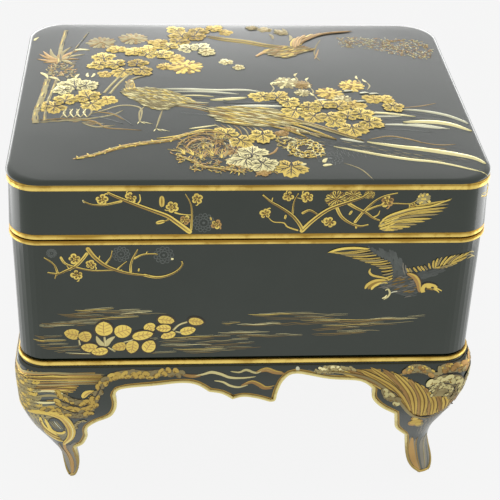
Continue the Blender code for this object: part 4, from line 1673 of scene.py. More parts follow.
        roots, tips = ((48.4, 79.8), (50.6, 80.1), (52.8, 81)), ((51.4, 79.8), (54.2, 81), (57.2, 83))
        sheet.wing(roots, tips, 6, 0.55, (OLIVE, GOLD), 0.04, 8)
        for x, y in ((56.4, 83), (57.4, 82.2), (56.8, 83.8)):
            sheet.line(OLIVE, ((x, y), (x + 1.6, y + 0.3), (x + 3, y - 0.3)), 0.4, 3)
        chest = ((41.6, 78.2), (43.6, 77.2), (44.9, 75.2), (45.5, 72.1))
        sheet.dark(chest, 2, REED, 8)
        sheet.strip(COPPER, chest, 1.5, REED, 10, columns=4)
        sheet.line(GOLD, moved(chest, 0.3, 0.2), 0.5, 15)
        neck = ((46.5, 72.1), (46.3, 73.3), (46.9, 74.3), (48.2, 74.4), (49.2, 73.9))
        sheet.dark(neck, 1.8, EVEN, 8)
        sheet.strip(GOLD, neck, 1.1, EVEN, 11, columns=4)
        sheet.disc(LINE, (48.7, 73.8), 1.25, 9, 1.55, -14)
        sheet.disc(GOLD, (48.7, 73.8), 0.98, 12, 1.6, -14)
        sheet.strip(GOLD, ((49.6, 73.4), (50.5, 73.1), (51.5, 72.5)), 0.55, TWIG, 12)
        sheet.strip(GOLD, ((49.6, 73), (50.3, 72.6), (50.8, 72)), 0.55, TWIG, 12)
        sheet.disc(LINE, (48.9, 73.6), 0.3, 19, 1.5, -20, 8)
        sheet.line(BRONZE, ((47, 73.2), (48.2, 73.2), (49.4, 72.9)), 0.3, 18)
        for metal, width, path in (
            (GOLD, 0.9, ((36.4, 76), (33.6, 75.9), (31.6, 74.8), (30.8, 73.3))),
            (BRONZE, 1, ((36.6, 75.6), (34.2, 75.5), (32.4, 74.4), (31.7, 73.2))),
            (GOLD, 0.9, ((36.8, 75.2), (34.8, 75.1), (33.2, 74.2), (32.5, 73))),
        ):
            sheet.dark(path, width + 0.3, FEATHER, 2)
            sheet.strip(metal, path, width, FEATHER, 5)
        sheet.line(GOLD, ((31.8, 79.8), (31.6, 78.7), (32.6, 77.6), (35.4, 76.9), (37, 76.4)), 0.65, 8)
        sheet.line(PALE, ((36.3, 72.7), (37, 73.2), (37.6, 72), (37.2, 70.8), (36.1, 69.8)), 0.55, 8)
        sheet.line(PALE, ((36.9, 71.4), (36.4, 70.6), (35.6, 70.2)), 0.45, 8)
        sheet.line(SILVER, ((37.9, 72), (38.6, 72.4), (39.6, 72.5)), 0.5, 8)
        sheet.tone = 0


@dataclass
class Lid:
    """The lift-off lid: its domed panel, its wall and the inlay on both.

    Branches are (width, path) and blossoms (along, height, radius), on the wall.
    """

    bottom: float = 89.85
    wall: float = 1.6
    rebate: float = 1.6
    play: float = 0.1
    ceiling_drop: float = 0.4
    edge_drop: float = 0.05
    shoulder_foot: float = 105.5
    shoulder: float = 106.5
    shoulder_steps: int = 8
    panel_steps: int = 14
    straights: int = 8
    left_branches: Strokes = (
        (1.5, (
            (-15.8, 91.8), (-19.5, 94.9), (-21.7, 96.5), (-26, 98.3), (-30, 100), (-34.7, 102.2),
            (-36.4, 103.2),
        )),
        (0.75, ((-33, 100.6), (-37.3, 99.6), (-40.3, 99.7), (-42.5, 100.7))),
        (0.5, ((-28.9, 99.8), (-28.2, 101), (-28.4, 102.6))),
        (0.65, ((-15.4, 92.4), (-15.2, 96.9), (-15.6, 100), (-16.9, 102.6))),
        (0.5, ((-19.5, 97.3), (-17.8, 96.8), (-15.4, 96.6))),
        (0.6, ((-20.8, 95.8), (-21.6, 95), (-23.6, 94.6))),
    )
    left_blossoms: Rows = (
        (-37.7, 101.2, 1.6), (-30.6, 101.6, 1.6), (-20.2, 99, 1.6), (-13.9, 101.2, 1.5), (-16.9, 95.2, 1.45),
        (-9, 93.9, 1.4),
    )
    right_branches: Strokes = (
        (1.35, ((13, 91.9), (15.6, 94.8), (19.5, 98), (24.2, 100), (28.1, 101.5), (29.6, 102.9))),
        (1.1, ((13.2, 92.1), (12.2, 94), (10.2, 96.5), (7, 98.9), (4.8, 100.3), (2.6, 102.3))),
        (0.6, ((10.4, 96.3), (10.6, 99.9), (11.7, 102.7))),
        (0.5, ((11.9, 92), (9.3, 93), (8.2, 94.2), (5.6, 94.5), (4.1, 96))),
        (0.8, ((13, 97), (14.7, 97.8), (16.6, 96.7), (17.4, 95.6))), (0.45, ((4.9, 100.2), (5.2, 101.5))),
        (1, ((21.6, 98.6), (23, 95.9), (25.4, 94), (27.9, 93.1), (30.1, 93.5))),
        (1, ((24.7, 99.6), (26.8, 98.3), (29.4, 96.9), (31.2, 95.5), (33, 94.7))),
        (0.5, ((31.2, 95.6), (32.4, 96.4), (32.8, 97.6))),
        (0.85, ((26.6, 94.3), (28.6, 97.3), (31.2, 100.2), (33.8, 101.8), (37, 102.6))),
        (0.6, ((28.6, 97.3), (32, 98.9), (35.9, 99.6), (40.3, 99.5), (42.2, 100.5))),
        (0.45, ((14.6, 101), (13, 101), (11.4, 101.4))),
    )
    right_blossoms: Rows = (
        (14, 101.6, 1.6), (9.1, 101.8, 1.5), (3.5, 96.9, 1.5), (20, 94.3, 1.6), (34.6, 100.4, 1.8),
        (41.2, 98.9, 1.2),
    )

    def __post_init__(self) -> None:
        """Makes the panel's surface."""
        self.panel = PanelSurface(PLAN.half_length, PLAN.half_depth, self.shoulder_foot, self.shoulder)

    def build(self) -> Piece:
        """Builds the shell from its inner ceiling, down the inside, up the wall and over the shoulder."""
        seat, under = sum(PLAN.lid_base_rim[:2]), PLAN.lid_top_rim[0]
        foot, head, panel = PLAN.lid_foot_inset, PLAN.lid_head_inset, self.panel
        inner, ceiling = head + self.wall, self.shoulder - self.wall - self.ceiling_drop
        lip, edge = self.rebate + self.play, self.shoulder_foot - self.edge_drop
        outline = (
            (inner + 1, ceiling), (inner, ceiling - 1), (inner, self.bottom), (lip, self.bottom), (lip, seat),
            (foot, seat), (head, under), (self.rebate, under), (self.rebate, edge),
        )
        rings = [PLAN.ring(inset, height, straights=self.straights) for inset, height in outline]
        rings.append(PLAN.ring(panel.foot_inset, edge, panel.foot_radius, self.straights))
        for step in range(self.shoulder_steps + 1):
            inset, radius = panel.ring(1 - math.cos(math.pi / 2 * step / self.shoulder_steps))
            rings.append(PLAN.ring(inset, panel.height, radius, self.straights))
        inset = panel.shoulder_inset
        sizes = (PLAN.half_length - inset, PLAN.half_depth - inset, panel.plateau_radius)
        for step in range(1, self.panel_steps):
            share = 1 - step / self.panel_steps
            rings.append(plan_ring(*(size * share for size in sizes), panel.height, self.straights))
        count = len(rings[0])
        faces = ring_faces(count, len(rings))
        faces += [tuple(reversed(range(count))), tuple(range((len(rings) - 1) * count, len(rings) * count))]
        piece = new_object("iron_lid", rings, faces, IRON)
        piece.data.set_sharp_from_angle(angle=math.radians(50))
        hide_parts("lid")
        return piece

    def dress(self) -> None:
        """Lays the plants, birds and streams on the panel, and the flowering branches on the wall."""
        top = Ornament("panel_inlay", self.panel, 5)
        # Painted reflection haze: inlay farther back on the panel is made duller, as if washed out by sheen.
        top.tone, top.fade = 0.1, 0.005
        self._streams(top)
        self._bamboo(top)
        self._far_bird(top)
        self._left_bank(top)
        self._near_birds(top)
        self._right_bank(top)
        self._front_bank(top)
        top.build()
        wall = Ornament("lid_wall_inlay", PLAN.lid_wall(), 11)
        self._left_branch(wall)
        self._right_branch(wall)
        self._loose_wing(wall)
        side, back = wall.surface.side_middle(), wall.surface.back_middle()
        for shift, mirror in ((side - 6, False), (-side - 12, True), (back - 14, False)):
            wall.move(shift, mirror)
            self._left_branch(wall)
        for shift, mirror in ((back + 8, True), (side + 5, True), (-side - 4, False)):
            wall.move(shift, mirror)
            for k, (width, path) in enumerate(self.right_branches[6:11]):
                wall.twig(path, width, 1 if k else 5)
            for x, y, radius in self.right_blossoms[4:6]:
                wall.blossom((x, y), radius, turn=7 * x)
        wall.move()
        wall.line(OLIVE, ((60, 101.4), (62, 100.8), (64.4, 100.6), (67, 99.6)), 0.45, 1)
        wall.build()

    def _left_branch(self, wall: Ornament) -> None:
        """Lays the branch that climbs to the left, and its blossoms."""
        wall.ghost((-12.2, 94.3), 2.7, 13)
        for k, (width, path) in enumerate(self.left_branches):
            wall.twig(path, width, 1 if k else 6)
        for x, y, radius in self.left_blossoms:
            wall.blossom((x, y), radius, COPPER if radius < 1.5 else GOLD, 9 * x)
        for x, y, angle, size in ((-22.8, 100.5, 90, 3.2), (-23.2, 94.6, 195, 2.4), (-10.4, 95.5, 110, 1)):
            wall.bud((x, y), angle, size)
        wall.bud((-42.4, 100.6), 120, 1, PALE)

    def _right_branch(self, wall: Ornament) -> None:
        """Lays the forked branch on the right with its flowers."""
        for x, y, radius in ((25.6, 102, 2.3), (21.4, 100.9, 3), (29.8, 102.2, 1.6)):
            wall.chrysanthemum((x, y), radius, GOLD, BRONZE, 14, 0.8, True)
        for k, (width, path) in enumerate(self.right_branches):
            wall.twig(path, width, 9 if k < 2 else 3)
        for x, y, radius in self.right_blossoms:
            wall.blossom((x, y), radius, COPPER if radius > 1.65 else GOLD, 7 * x)
        wall.chrysanthemum((43.8, 100.9), 2, OLIVE, GOLD, 12)
        for x, y, angle, size in ((25.3, 97, 60, 1.4), (27, 93, 270, 1.3), (8.6, 95.9, 80, 1.3)):
            wall.bud((x, y), angle, size)

    @staticmethod
    def _loose_wing(wall: Ornament) -> None:
        """Lays the raised wing beside the branch."""
        golds = (GOLD, OLIVE, GOLD)
        roots = ((33.6, 95), (33, 94), (32.8, 93), (33.4, 92.2), (34.2, 91.9))
        tips = ((50.9, 100.5), (50.2, 98.6), (48.6, 96.8), (45.6, 94.8), (42.2, 93.3), (39, 92.2), (37, 91.9))
        wall.wing(roots, tips, 12, 0.6, golds, 0.05, 1)
        wall.line(GOLD, ((33, 93.4), (34.8, 95.9), (40.3, 98), (45.9, 98.9), (51, 101)), 0.55, 14)
        down = ((33, 92.4), (34.2, 95), (37.6, 95.8), (36.2, 93.4), (34.6, 92))
        wall.hatch(down, golds, 25, (1.5, 0.4), (0.9, 0.6), 16)

    @staticmethod
    def _bamboo(top: Ornament) -> None:
        """Lays the bamboo on the left."""
        top.bamboo(((-54, -17), (-54, -8), (-53.2, -0.2), (-52.2, 8.6)), 0.8, 6, OLIVE)
        top.bamboo(((-56.3, -18.2), (-56.6, -12.3), (-55.9, -5.8), (-55.2, 1.5), (-54.8, 8.6)), 1.7, 7, OLIVE)
        haze = ((-55, 11), (-47, 10), (-47.6, 18), (-49.6, 22), (-53.6, 22), (-55.6, 17))
        top.moss(haze, (BRONZE, OLIVE, COPPER, OLIVE), 130, 1.6, 0.42)
        top.bamboo(((-52.3, 20), (-52.3, 31), (-51.5, 43.6)), 1.2, 8, OLIVE)
        top.bamboo(((-50, 22), (-47.6, 31), (-44.6, 42)), 0.6, 6, TARNISH)
        for angle, length, metal in (
            (118, 9, OLIVE), (150, 8, COPPER), (176, 7, COPPER), (60, 8.5, COPPER), (35, 8, OLIVE),
            (10, 5.5, BRONZE), (95, 6, BRONZE), (135, 8.6, COPPER), (80, 10, OLIVE), (200, 5, COPPER),
            (330, 4.6, OLIVE),
        ):
            top.slim_leaf((-52, 21.6), angle, length, 1.25, metal, 3)
        for x, y, angle, length in ((-57.2, 13.4, -55, 5), (-54.6, 10.4, -38, 4.6), (-48.6, 28.6, 5, 5)):
            top.slim_leaf((x, y), angle, length, 1.1, PALE, 3)
        for x, y, angle in ((-46.9, 9, 75), (-43.4, 9.6, 100), (-41.8, 12, 260), (-60.6, 36, 70)):
            top.slim_leaf((x, y), angle, 2.8, 0.8, PALE, 3)

    @staticmethod
    def _left_bank(top: Ornament) -> None:
        """Lays the vine, the flowers behind it and the bank that they grow from."""
        for path in (((-38.6, -1), (-36.6, 4.4), (-33.2, 12.6)), ((-37, -1.6), (-34.6, 5), (-30.6, 13.6))):
            top.dark(path, 1.5, EVEN)
            top.strip(OLIVE, path, 0.8, EVEN, 2)
            top.line(PALE, path, 0.25, 7)
        for x, y, radius in ((-40.5, 34, 4.6), (-31, 37, 4.8), (-15.4, 15.6, 5.2), (-21.6, 16, 2.6)):
            top.chrysanthemum((x, y), radius, OLIVE if y > 20 else GOLD, BRONZE, 18)
        leaves = (
            (-39.4, 22.6, 95, 5.6), (-40.2, 17.6, 200, 4.8), (-35.6, 17.6, 130, 5.2), (-33.4, 13, 250, 5.4),
            (-29.6, 18, 80, 5), (-28.2, 13.6, 300, 5), (-38.4, 11.6, 230, 3.6), (-35.6, 28.2, 110, 4.6),
            (-30.4, 26.6, 150, 4.6), (-26.6, 25, 60, 5.4), (-26.2, 28.6, 100, 4.4), (-22.4, 24.6, 20, 4.8),
            (-19.2, 22.4, 340, 4.6), (-20.4, 30.4, 120, 5.4), (-22.8, 33.6, 170, 4.6), (-17.4, 34.6, 60, 5.4),
            (-16.4, 39, 110, 5.6), (-12.6, 38.4, 20, 5.2), (-17.6, 43.4, 130, 5), (-11.4, 42.4, 70, 5.2),
            (-6.6, 44.8, 45, 4.6), (-3.4, 42, 10, 3.8),
        )
        top.leaves(leaves, GOLD)
        top.leaves(((-46.9, 3.8, 100, 7.4), (-49.6, 1.4, 190, 4.8), (-43.9, 3.6, 30, 5.6)), PALE)
        top.leaves(((-14.2, 28.8, 120, 5.4), (-11, 29.2, 60, 5.4), (-9.4, 26.4, 330, 4.4)), PALE)
        top.leaves(((-3.4, 18.6, 110, 3.4), (-0.4, 15.4, 330, 3)), PALE)
        leaves = ((-51.6, -8.6, 205, 6.6), (-49, -5.2, 80, 5.8), (-43, -3.6, 110, 6), (-41.8, -7.6, 290, 5.4))
        top.leaves(leaves, GOLD)
        top.leaves(((-37.8, -5.2, 340, 4.4),), GOLD)
        for k in range(9):
            x, bend = -49.4 + 0.9 * k, (-1) ** k
            path = ((x, -10.4), (x + 0.6 * bend, -12.8), (x - 0.5 * bend, -15.6))
            top.line(PALE if k % 2 else OLIVE, path, 0.5, 3)
        for metal, path in (
            (OLIVE, ((-57, -17.6), (-49, -17.3), (-42.4, -16.4), (-36, -14.4), (-33, -11.6))),
            (BRONZE, ((-56, -16.4), (-48, -16.2), (-41, -17.8), (-37.6, -21.6), (-33, -22.6), (-28, -23.4))),
            (OLIVE, ((-44, -18.6), (-40, -21.2), (-35, -20.4))),
            (OLIVE, ((-42, -13.6), (-38.6, -11.8), (-34.1, -9), (-29.6, -9.6), (-28, -12.3), (-28.5, -18.8))),
            (BRONZE, ((-40.6, -12.4), (-36, -13.8), (-32.6, -17.6))),
            (TARNISH, ((-38, -12), (-34.6, -14.6), (-30.4, -20.6))),
            (TARNISH, ((-44, -14), (-38, -16.4), (-33, -19.6))),
        ):
            top.line(metal, path, 0.6, 1)
        ground = (
            (-54, -15.4), (-44, -15.4), (-40, -18), (-36, -21.4), (-41, -19.6), (-46, -18), (-55, -17.8)
        )
        top.hatch(ground, (OLIVE, BRONZE, TARNISH), 3, (2.4, 0.4), (1.8, 0.6))

    @staticmethod
    def _near_birds(top: Ornament) -> None:
        """Lays the two pheasants at the water's edge."""
        body = (
            (-33, 1.6), (-33.6, -1.6), (-30, -6), (-26, -10.6), (-22, -12), (-18.4, -9.4), (-13.6, -7.4),
            (-16.4, -3.6), (-21, 0.4), (-27, 2),
        )
        top.plumage(body, (-24, -4.6), (OLIVE, GOLD, PALE, OLIVE, OLIVE, PALE), 335, (1.9, 0.42), 2)
        top.strip(BRONZE, ((-31, 0.6), (-31.6, 4), (-31.2, 7.4)), 3, TWIG, 4, columns=4)
        neck = ((-33, 0.4), (-29.4, 1), (-30.4, 5.6), (-32.6, 5.6))
        top.hatch(neck, (OLIVE, GOLD), 280, (1.4, 0.4), (0.9, 0.5), 9)
        top.strip(OLIVE, ((-31.4, 6.6), (-29.6, 8.6), (-27.2, 9.4)), 1, LEAF, 6)
        top.disc(PALE, (-31, 6.2), 0.5, 9)
        for path in (
            ((-27.2, -9.6), (-28.6, -13), (-28.6, -18.6)), ((-22.4, -12), (-23.2, -16.6), (-24.2, -22.6))
        ):
            top.line(OLIVE, path, 0.5, 3)
        for x, y in ((-24.2, -22.6), (-28.6, -18.4)):
            for lean in (-0.6, 1.6, 3.6):
                top.line(PALE, ((x, y), (x + lean, y - 1.6)), 0.35, 3, 2)
        for k in range(5):
            path = ((-19, -9.6 + 0.8 * k), (-14, -11 + 0.9 * k), (-9.6, -13.6 + 1.4 * k))
            top.line((BRONZE, PALE, OLIVE)[k % 3], path, 0.5, 1)
        for k in range(12):
            x = -18 + 0.9 * k
            top.line(TARNISH, ((x, -12.6 - 0.2 * k), (x + 1.6, -14.6 - 0.2 * k)), 0.3, 0, 2)
        body = (
            (-10, -11.6), (-9, -15.6), (-5.6, -19.8), (2, -21.8), (9, -21.4), (14.6, -19.6), (11, -15.4),
            (8, -11.4), (0, -10.4), (-6, -10.2),
        )
        top.plumage(body, (1, -15.6), (OLIVE, GOLD, PALE, BRONZE, PALE, GOLD), 343, (3.6, 0.5), 2)
        for k, (x0, y0, x1, y1) in enumerate(
            (
                (5, -13, 27.6, -27.4), (6, -15.2, 29.8, -29.2), (7.4, -17.4, 23.4, -28.6),
                (10.8, -16.4, 30.6, -29.4), (8.6, -20.4, 19.4, -28), (6.6, -21.6, 15.6, -27.6),
                (12.6, -24.6, 23.4, -28.9),
            )
        ):
            path = ((x0, y0), ((x0 + x1) / 2, (y0 + y1) / 2 + 0.8), (x1, y1))
            top.dark(path, 1.5, REED, 3, 5)
            top.strip((OLIVE, PALE, GOLD)[k % 3], path, 0.85, REED, 6, 5, rise=0.05)
            top.line(BRONZE, path, 0.22, 11)
        for k in range(8):
            x, y = -8.6 + 1.7 * k, -20.2 - 0.3 * k
            top.line((OLIVE, BRONZE)[k % 2], ((x, y), (x + 1.4, y - 2.4), (x + 2, y - 5.4)), 0.45, 1)
        for x, y in ((11.6, -23.6), (9, -26)):
            top.leaves(((x, y, 80, 3.2),), COPPER)

    @staticmethod
    def _right_bank(top: Ornament) -> None:
        """Lays the flowers and leaves right of the middle."""
        feet = ((18.6, 6.4), (19.4, 1.6), (20, -3.4), (15.6, 9.4), (33.6, 8), (36, 6), (8.4, 3.4))
        for k, (x, y) in enumerate(feet):
            top.line(OLIVE, ((x, y), (x + 0.6, y - 2.4), (x - 0.4, y - 5)), 0.45, 2)
            top.slim_leaf((x, y), 70 + 25 * (k % 3), 2.2, 0.7, PALE, 3)
        for x, y, radius, metal in (
            (12.6, 4.8, 4, OLIVE), (17.2, 3.6, 2.8, BRONZE), (31.2, 3.4, 4, GOLD), (24.4, -1.8, 4, GOLD),
            (27.6, -5.4, 3, OLIVE), (16.8, -1.6, 2.4, OLIVE),
        ):
            top.chrysanthemum((x, y), radius, metal, PALE if metal is OLIVE else BRONZE, 16)
        for x, y in ((33, -1.6), (35.6, -2), (31.4, -7), (20.6, -6.6), (28.6, -0.6)):
            top.slim_leaf((x, y), 15, 3, 0.9, SILVER, 12)
        leaves = (
            (5.6, -4.2, 170, 5.2), (9.6, -4.8, 60, 5.2), (12.2, -7.4, 330, 4.8), (13.8, -12.6, 250, 6),
            (17.6, -10.6, 20, 5.2), (21.6, -9.4, 100, 4.8), (18.6, -15.8, 240, 5.4), (22.6, -15.8, 280, 5.2),
            (26.2, -9.8, 60, 5.2), (24, -18.6, 300, 5), (28, -15.4, 80, 5.4), (31.6, -14.4, 20, 5.6),
            (30.4, -8.6, 350, 4.6), (28.4, -22.4, 270, 6.6), (33.4, -19, 330, 5.6), (36.8, -5.2, 150, 4.6),
            (39.4, -5.4, 60, 4.4), (41.2, -9.2, 300, 4.8),
        )
        top.leaves(leaves, GOLD)

    @staticmethod
    def _front_bank(top: Ornament) -> None:
        """Lays the mossy branch, the mound and the flowers at the front edge."""
        limb = (
            (-45.4, -38.3), (-39.8, -36.1), (-33.7, -32.6), (-28, -30.6), (-20.7, -28.9), (-16.4, -26.1),
            (-10.8, -24.2),
        )
        top.bark(limb, 1.8)
        for k, (x, y) in enumerate(smooth_path(limb, 9)[2:-12]):
            tuft = turned((x, y), 0.9 + 0.3 * (k % 3), 50 + 70 * (k % 4))
            top.strip(GOLD if k % 2 else BRONZE, ((x, y), tuft), 0.5, LEAF, 5, 3)
        for metal, path in (
            (PALE, ((-15.4, -22.9), (-11.6, -22), (-8, -21))),
            (GOLD, ((-24, -28), (-18, -26.6), (-12, -23.6), (-8, -24))),
            (COPPER, ((-14.6, -24.8), (-9.6, -24.6), (-6, -26.4), (-3, -30))),
            (BRONZE, ((-19, -33.6), (-17, -29), (-13, -26.2), (-9.4, -26.4), (-6.4, -29.4))),
            (COPPER, ((-16.4, -33), (-14.8, -29.8), (-11.6, -28.2), (-8.6, -30))),
            (OLIVE, ((-13.6, -32.4), (-12, -30.4), (-10, -31.4), (-9.6, -33.6))),
        ):
            top.line(metal, path, 0.7, 4)
        mound = (
            (-17.4, -29.4), (-16, -26.4), (-12.6, -24.9), (-9, -25.4), (-6, -28.2), (-6.2, -33), (-12, -33.6),
            (-17, -32),
        )
        top.patch(LINE, (-11.6, -29.4), mound)
        top.moss(mound, (COPPER, TARNISH, BRONZE, OLIVE), 150, 2, 0.3, 4)
        for x, y, height, lean in (
            (-14.6, -37, 6, -0.5), (-12.6, -38.6, 7.4, -0.1), (-9.6, -37.4, 7.6, -0.3),
            (-7.4, -38.4, 6.6, 0.1), (-12, -33.4, 5.6, 0.3), (-16.8, -36.4, 5, -0.6),
            (-9.4, -32.4, 4.6, -0.2),
        ):
            top.grass((x, y), 0.8 * height, lean, 5, GOLD, 0.32)
            top.grass((x + 0.9, y + 0.8), 0.8 * height, lean + 0.3, 5, COPPER, 0.3)
        root = ((-19.6, -36.4), (-15, -39.6), (-12.4, -42.4), (-8, -43.6), (-4, -44.6), (-1.6, -45.4))
        top.bark(root, 1.1, 3)
        golds = (GOLD, COPPER, BRONZE, OLIVE)
        verge = (
            (-20.6, -34.6), (-14, -37.6), (-7, -41), (-2, -43.4), (-0.6, -45.8), (-6, -45.6), (-13.6, -44.4),
            (-18.4, -39.4),
        )
        top.moss(verge, golds, 230, 1.7, 0.34, 5)
        floor = ((-18, -33), (-6, -33), (-3.6, -38), (-5, -42), (-14, -38.6))
        top.moss(floor, (BRONZE, COPPER, OLIVE, TARNISH), 110, 1.6, 0.28, 2)
        under = ((-5, -40), (1, -44), (7, -45), (5, -46.2), (0.6, -46.2), (-3.6, -44))
        top.moss(under, golds, 60, 1.6, 0.34, 2)
        for k, path in enumerate(
            (
                ((-6.6, -30), (-5.6, -34), (-7, -38.6)), ((-2.6, -36), (-4.2, -33.6), (-5, -29)),
                ((7.5, -33), (6.4, -35.4), (4.5, -37)), ((-0.6, -30.6), (1.6, -33.6), (1, -36)),
                ((14, -30), (10.4, -27.6), (8, -28.6)),
            )
        ):
            top.line((OLIVE, PALE, COPPER)[k % 3], path, 0.7, 2)
        top.leaves(((-5.4, -26, 130, 5.6), (-2, -29.4, 300, 5.4), (4, -26.4, 270, 5.8)), GOLD)
        top.leaves(((-3.6, -33.6, 260, 4.8), (3, -45.2, 280, 3)), COPPER)
        top.leaves(((-1, -38.6, 205, 6.8), (0.6, -36.4, 80, 6), (2.9, -41.2, 300, 6)), PALE)
        top.leaves(((10.2, -42.6, 264, 7),), GOLD)
        flower, bud = (14.6, -33.6), (9.6, -30.6)
        edge = [turned(flower, 4.9, 20 * k) for k in range(18)]
        top.patch(LINE, flower, edge, 0, 0.02)
        top.patch(LINE, bud, [turned(bud, 2.6, 30 * k) for k in range(12)], 0, 0.02)
        for radius, count in ((4.7, 17), (3.5, 13), (2.3, 9)):
            for k in range(count):
                metal, angle = (GOLD, PALE, GOLD)[k % 3], 360 * k / count + 9 * radius
                top.petal(metal, flower, radius, angle, 200 / count, 0.42, 3)
        top.moss(edge, (PALE, GOLD, BRONZE), 90, 1.5, 0.34, 6)
        top.moss([turned(bud, 2.8, 30 * k) for k in range(12)], (GOLD, OLIVE), 60, 1.3, 0.32, 3)
        top.ghost((20.6, -38.6), 3.4, 14)
        for x, y, angle in ((18.4, -42.4, 20), (14.2, -41.2, 200), (18.8, -40.8, 70), (13.8, -26, 100)):
            top.slim_leaf((x, y), angle, 2.6, 1.1, PALE, 3)
        top.slim_leaf((0.4, -28.8), 5, 3.6, 1.3, SILVER, 3)
        top.line(OLIVE, ((24, -40.9), (27.9, -43.9), (30.5, -49.1)), 0.35, 1)

    @staticmethod
    def _far_bird(top: Ornament) -> None:
        """Lays the bird that flies over the far side, and the haze beside it."""
        band = ((-8.4, 38.6), (-4, 36.6), (3, 34.4), (9, 31.6), (15, 30.4))
        top.strip(OLIVE, band, 3.4, REED, 1, 6, 4, 0.05)
        for shift in (-0.9, 0, 0.9):
            top.line(GOLD if shift else BRONZE, moved(band, 0, shift), 0.4, 6)
        body = (
            (7.6, 27.4), (10, 24), (14.6, 22.4), (18.6, 25.6), (23, 28.6), (20, 31.4), (14, 31), (10, 29.4)
        )
        top.plumage(body, (15, 27.4), (OLIVE, GOLD, BRONZE, COPPER), 30, (2.4, 0.6), 4)
        top.strip(COPPER, ((9.6, 28), (7.4, 25.8), (5.4, 23.2)), 1.8, TWIG, 6)
        roots = ((17, 29), (19, 31.6), (20, 34.6), (20.6, 37))
        tips = ((18.4, 37.6), (21.6, 40), (27, 42), (33, 43), (36.6, 43.4))
        top.wing(roots, tips, 9, 1.3, (GOLD, COPPER, COPPER), 0.08, 4)
        for x, y, angle in (
            (15, 45.6, 285), (12.6, 45, 280), (16.8, 40, 270), (6.4, 46.8, 300), (10.6, 41, 285)
        ):
            top.slim_leaf((x, y), angle, 4.6, 1, OLIVE, 3)
        top.leaves(((9.6, 44, 100, 3.6), (14, 41.8, 40, 3.8), (6, 45.6, 160, 3)), OLIVE)
        top.line(OLIVE, ((26, 36.6), (24, 31), (23, 25), (24.2, 20.4)), 0.5, 3)
        top.line(COPPER, ((24.6, 29), (23.4, 24), (22.6, 21.6)), 0.5, 3)
        haze = ((31, 38.6), (44, 38.6), (57, 37.4), (59.6, 30), (57, 23), (50, 25), (42, 29.4), (32, 31.4))
        top.tone = 0.5
        top.moss(haze, (SILVER, COPPER, PALE, COPPER), 900, 0.9, 0.34)
        top.tone = 0.1

    @staticmethod
    def _streams(top: Ornament) -> None:
        """Lays the bright streams and the thin dull lines between them."""
        for width, metal, path in (
            (1, SILVER, ((-24, 1), (-16, 0.8), (-8, 0), (1, 0), (5.6, -1.4))),
            (0.8, SILVER, ((-20, -0.6), (-12, -0.8), (-6, -1.6), (-1, -2.6))),
            (0.5, TARNISH, ((-18, -1.9), (-10, -2.2), (-5, -3.4))),
            (0.6, PALE, ((-18, -3.2), (-12, -3.4), (-8, -4.2))),
            (1.3, PALE, ((-9.2, -6.2), (-4, -5.6), (1, -4.8))),
            (0.7, TARNISH, ((-5.6, -7.9), (2, -8), (9.4, -7.6))),
            (1.2, SILVER, ((-3.6, -10.1), (3, -9.9), (11, -10))),
            (0.5, TARNISH, ((-14, -4.8), (-9, -5.4), (-4, -6.8))),
            (1.1, SILVER, ((42.8, -10.8), (49, -11.4), (55, -13.4), (59, -16.4), (60.8, -18.6))),
            (0.9, PALE, ((33.4, -13), (39, -13.4), (46.8, -15))),
            (0.7, SILVER, ((33.4, -15.4), (38, -15.3), (43, -14.9))),
            (1.7, PALE, ((42.8, -18.4), (50, -17.9), (55.6, -19), (60.9, -22.8))),
            (0.9, SILVER, ((43, -19.8), (48, -20), (55, -21.9))),
            (0.9, SILVER, ((35.6, -20.1), (43, -20), (49, -21), (53, -21.8))),
            (1.7, PALE, ((31.4, -29.9), (39.6, -32.2), (46, -33.6), (53.4, -35.8), (58.4, -38), (60.9, -41))),
            (1, PALE, ((22.2, -32.4), (28.3, -34.6), (34.8, -37), (41.3, -38.9), (50, -40.9), (60.9, -46.2))),
            (0.9, SILVER, ((24.4, -28.2), (27, -28.9), (30.6, -30.2))),
            (0.4, BRONZE, ((32, -28.6), (38, -26.6), (44, -28.6), (46, -30))),
            (0.35, TARNISH, ((36, -29), (40, -28), (45, -29.2))),
            (0.35, BRONZE, ((44, -29), (50, -31), (55, -30.6))),
            (0.35, BRONZE, ((41, -31.6), (47, -33), (52, -33.2))),
            (0.35, TARNISH, ((44, -12.6), (50, -13.4), (56, -15.6))),
            (0.35, BRONZE, ((42, -10.2), (49, -8.6), (54, -6.4))),
            (0.35, TARNISH, ((45, -16), (50, -16), (55, -17.2))),
            (0.35, TARNISH, ((38, -16.8), (43, -17.2), (47, -16.8))),
            (0.35, TARNISH, ((36, -22.6), (43, -23), (50, -24))),
        ):
            top.line(metal, path, 1.25 * width, 1)
        shade = ((22, -33), (30, -35.4), (34, -38.6), (30, -38), (23, -37.4))
        top.hatch(shade, (TARNISH,), 280, (2.2, 0.2), (2.2, 0.6))
        wash = (
            (8, -25.4), (30, -31), (40, -34.6), (56, -38.6), (56, -41), (40, -37.6), (26, -33.4), (9, -30)
        )
        top.hatch(wash, (TARNISH, TARNISH, OLIVE), 345, (3, 0.24), (3.2, 0.8))


# ------------------------------------------------------------------------------------------------- the studio


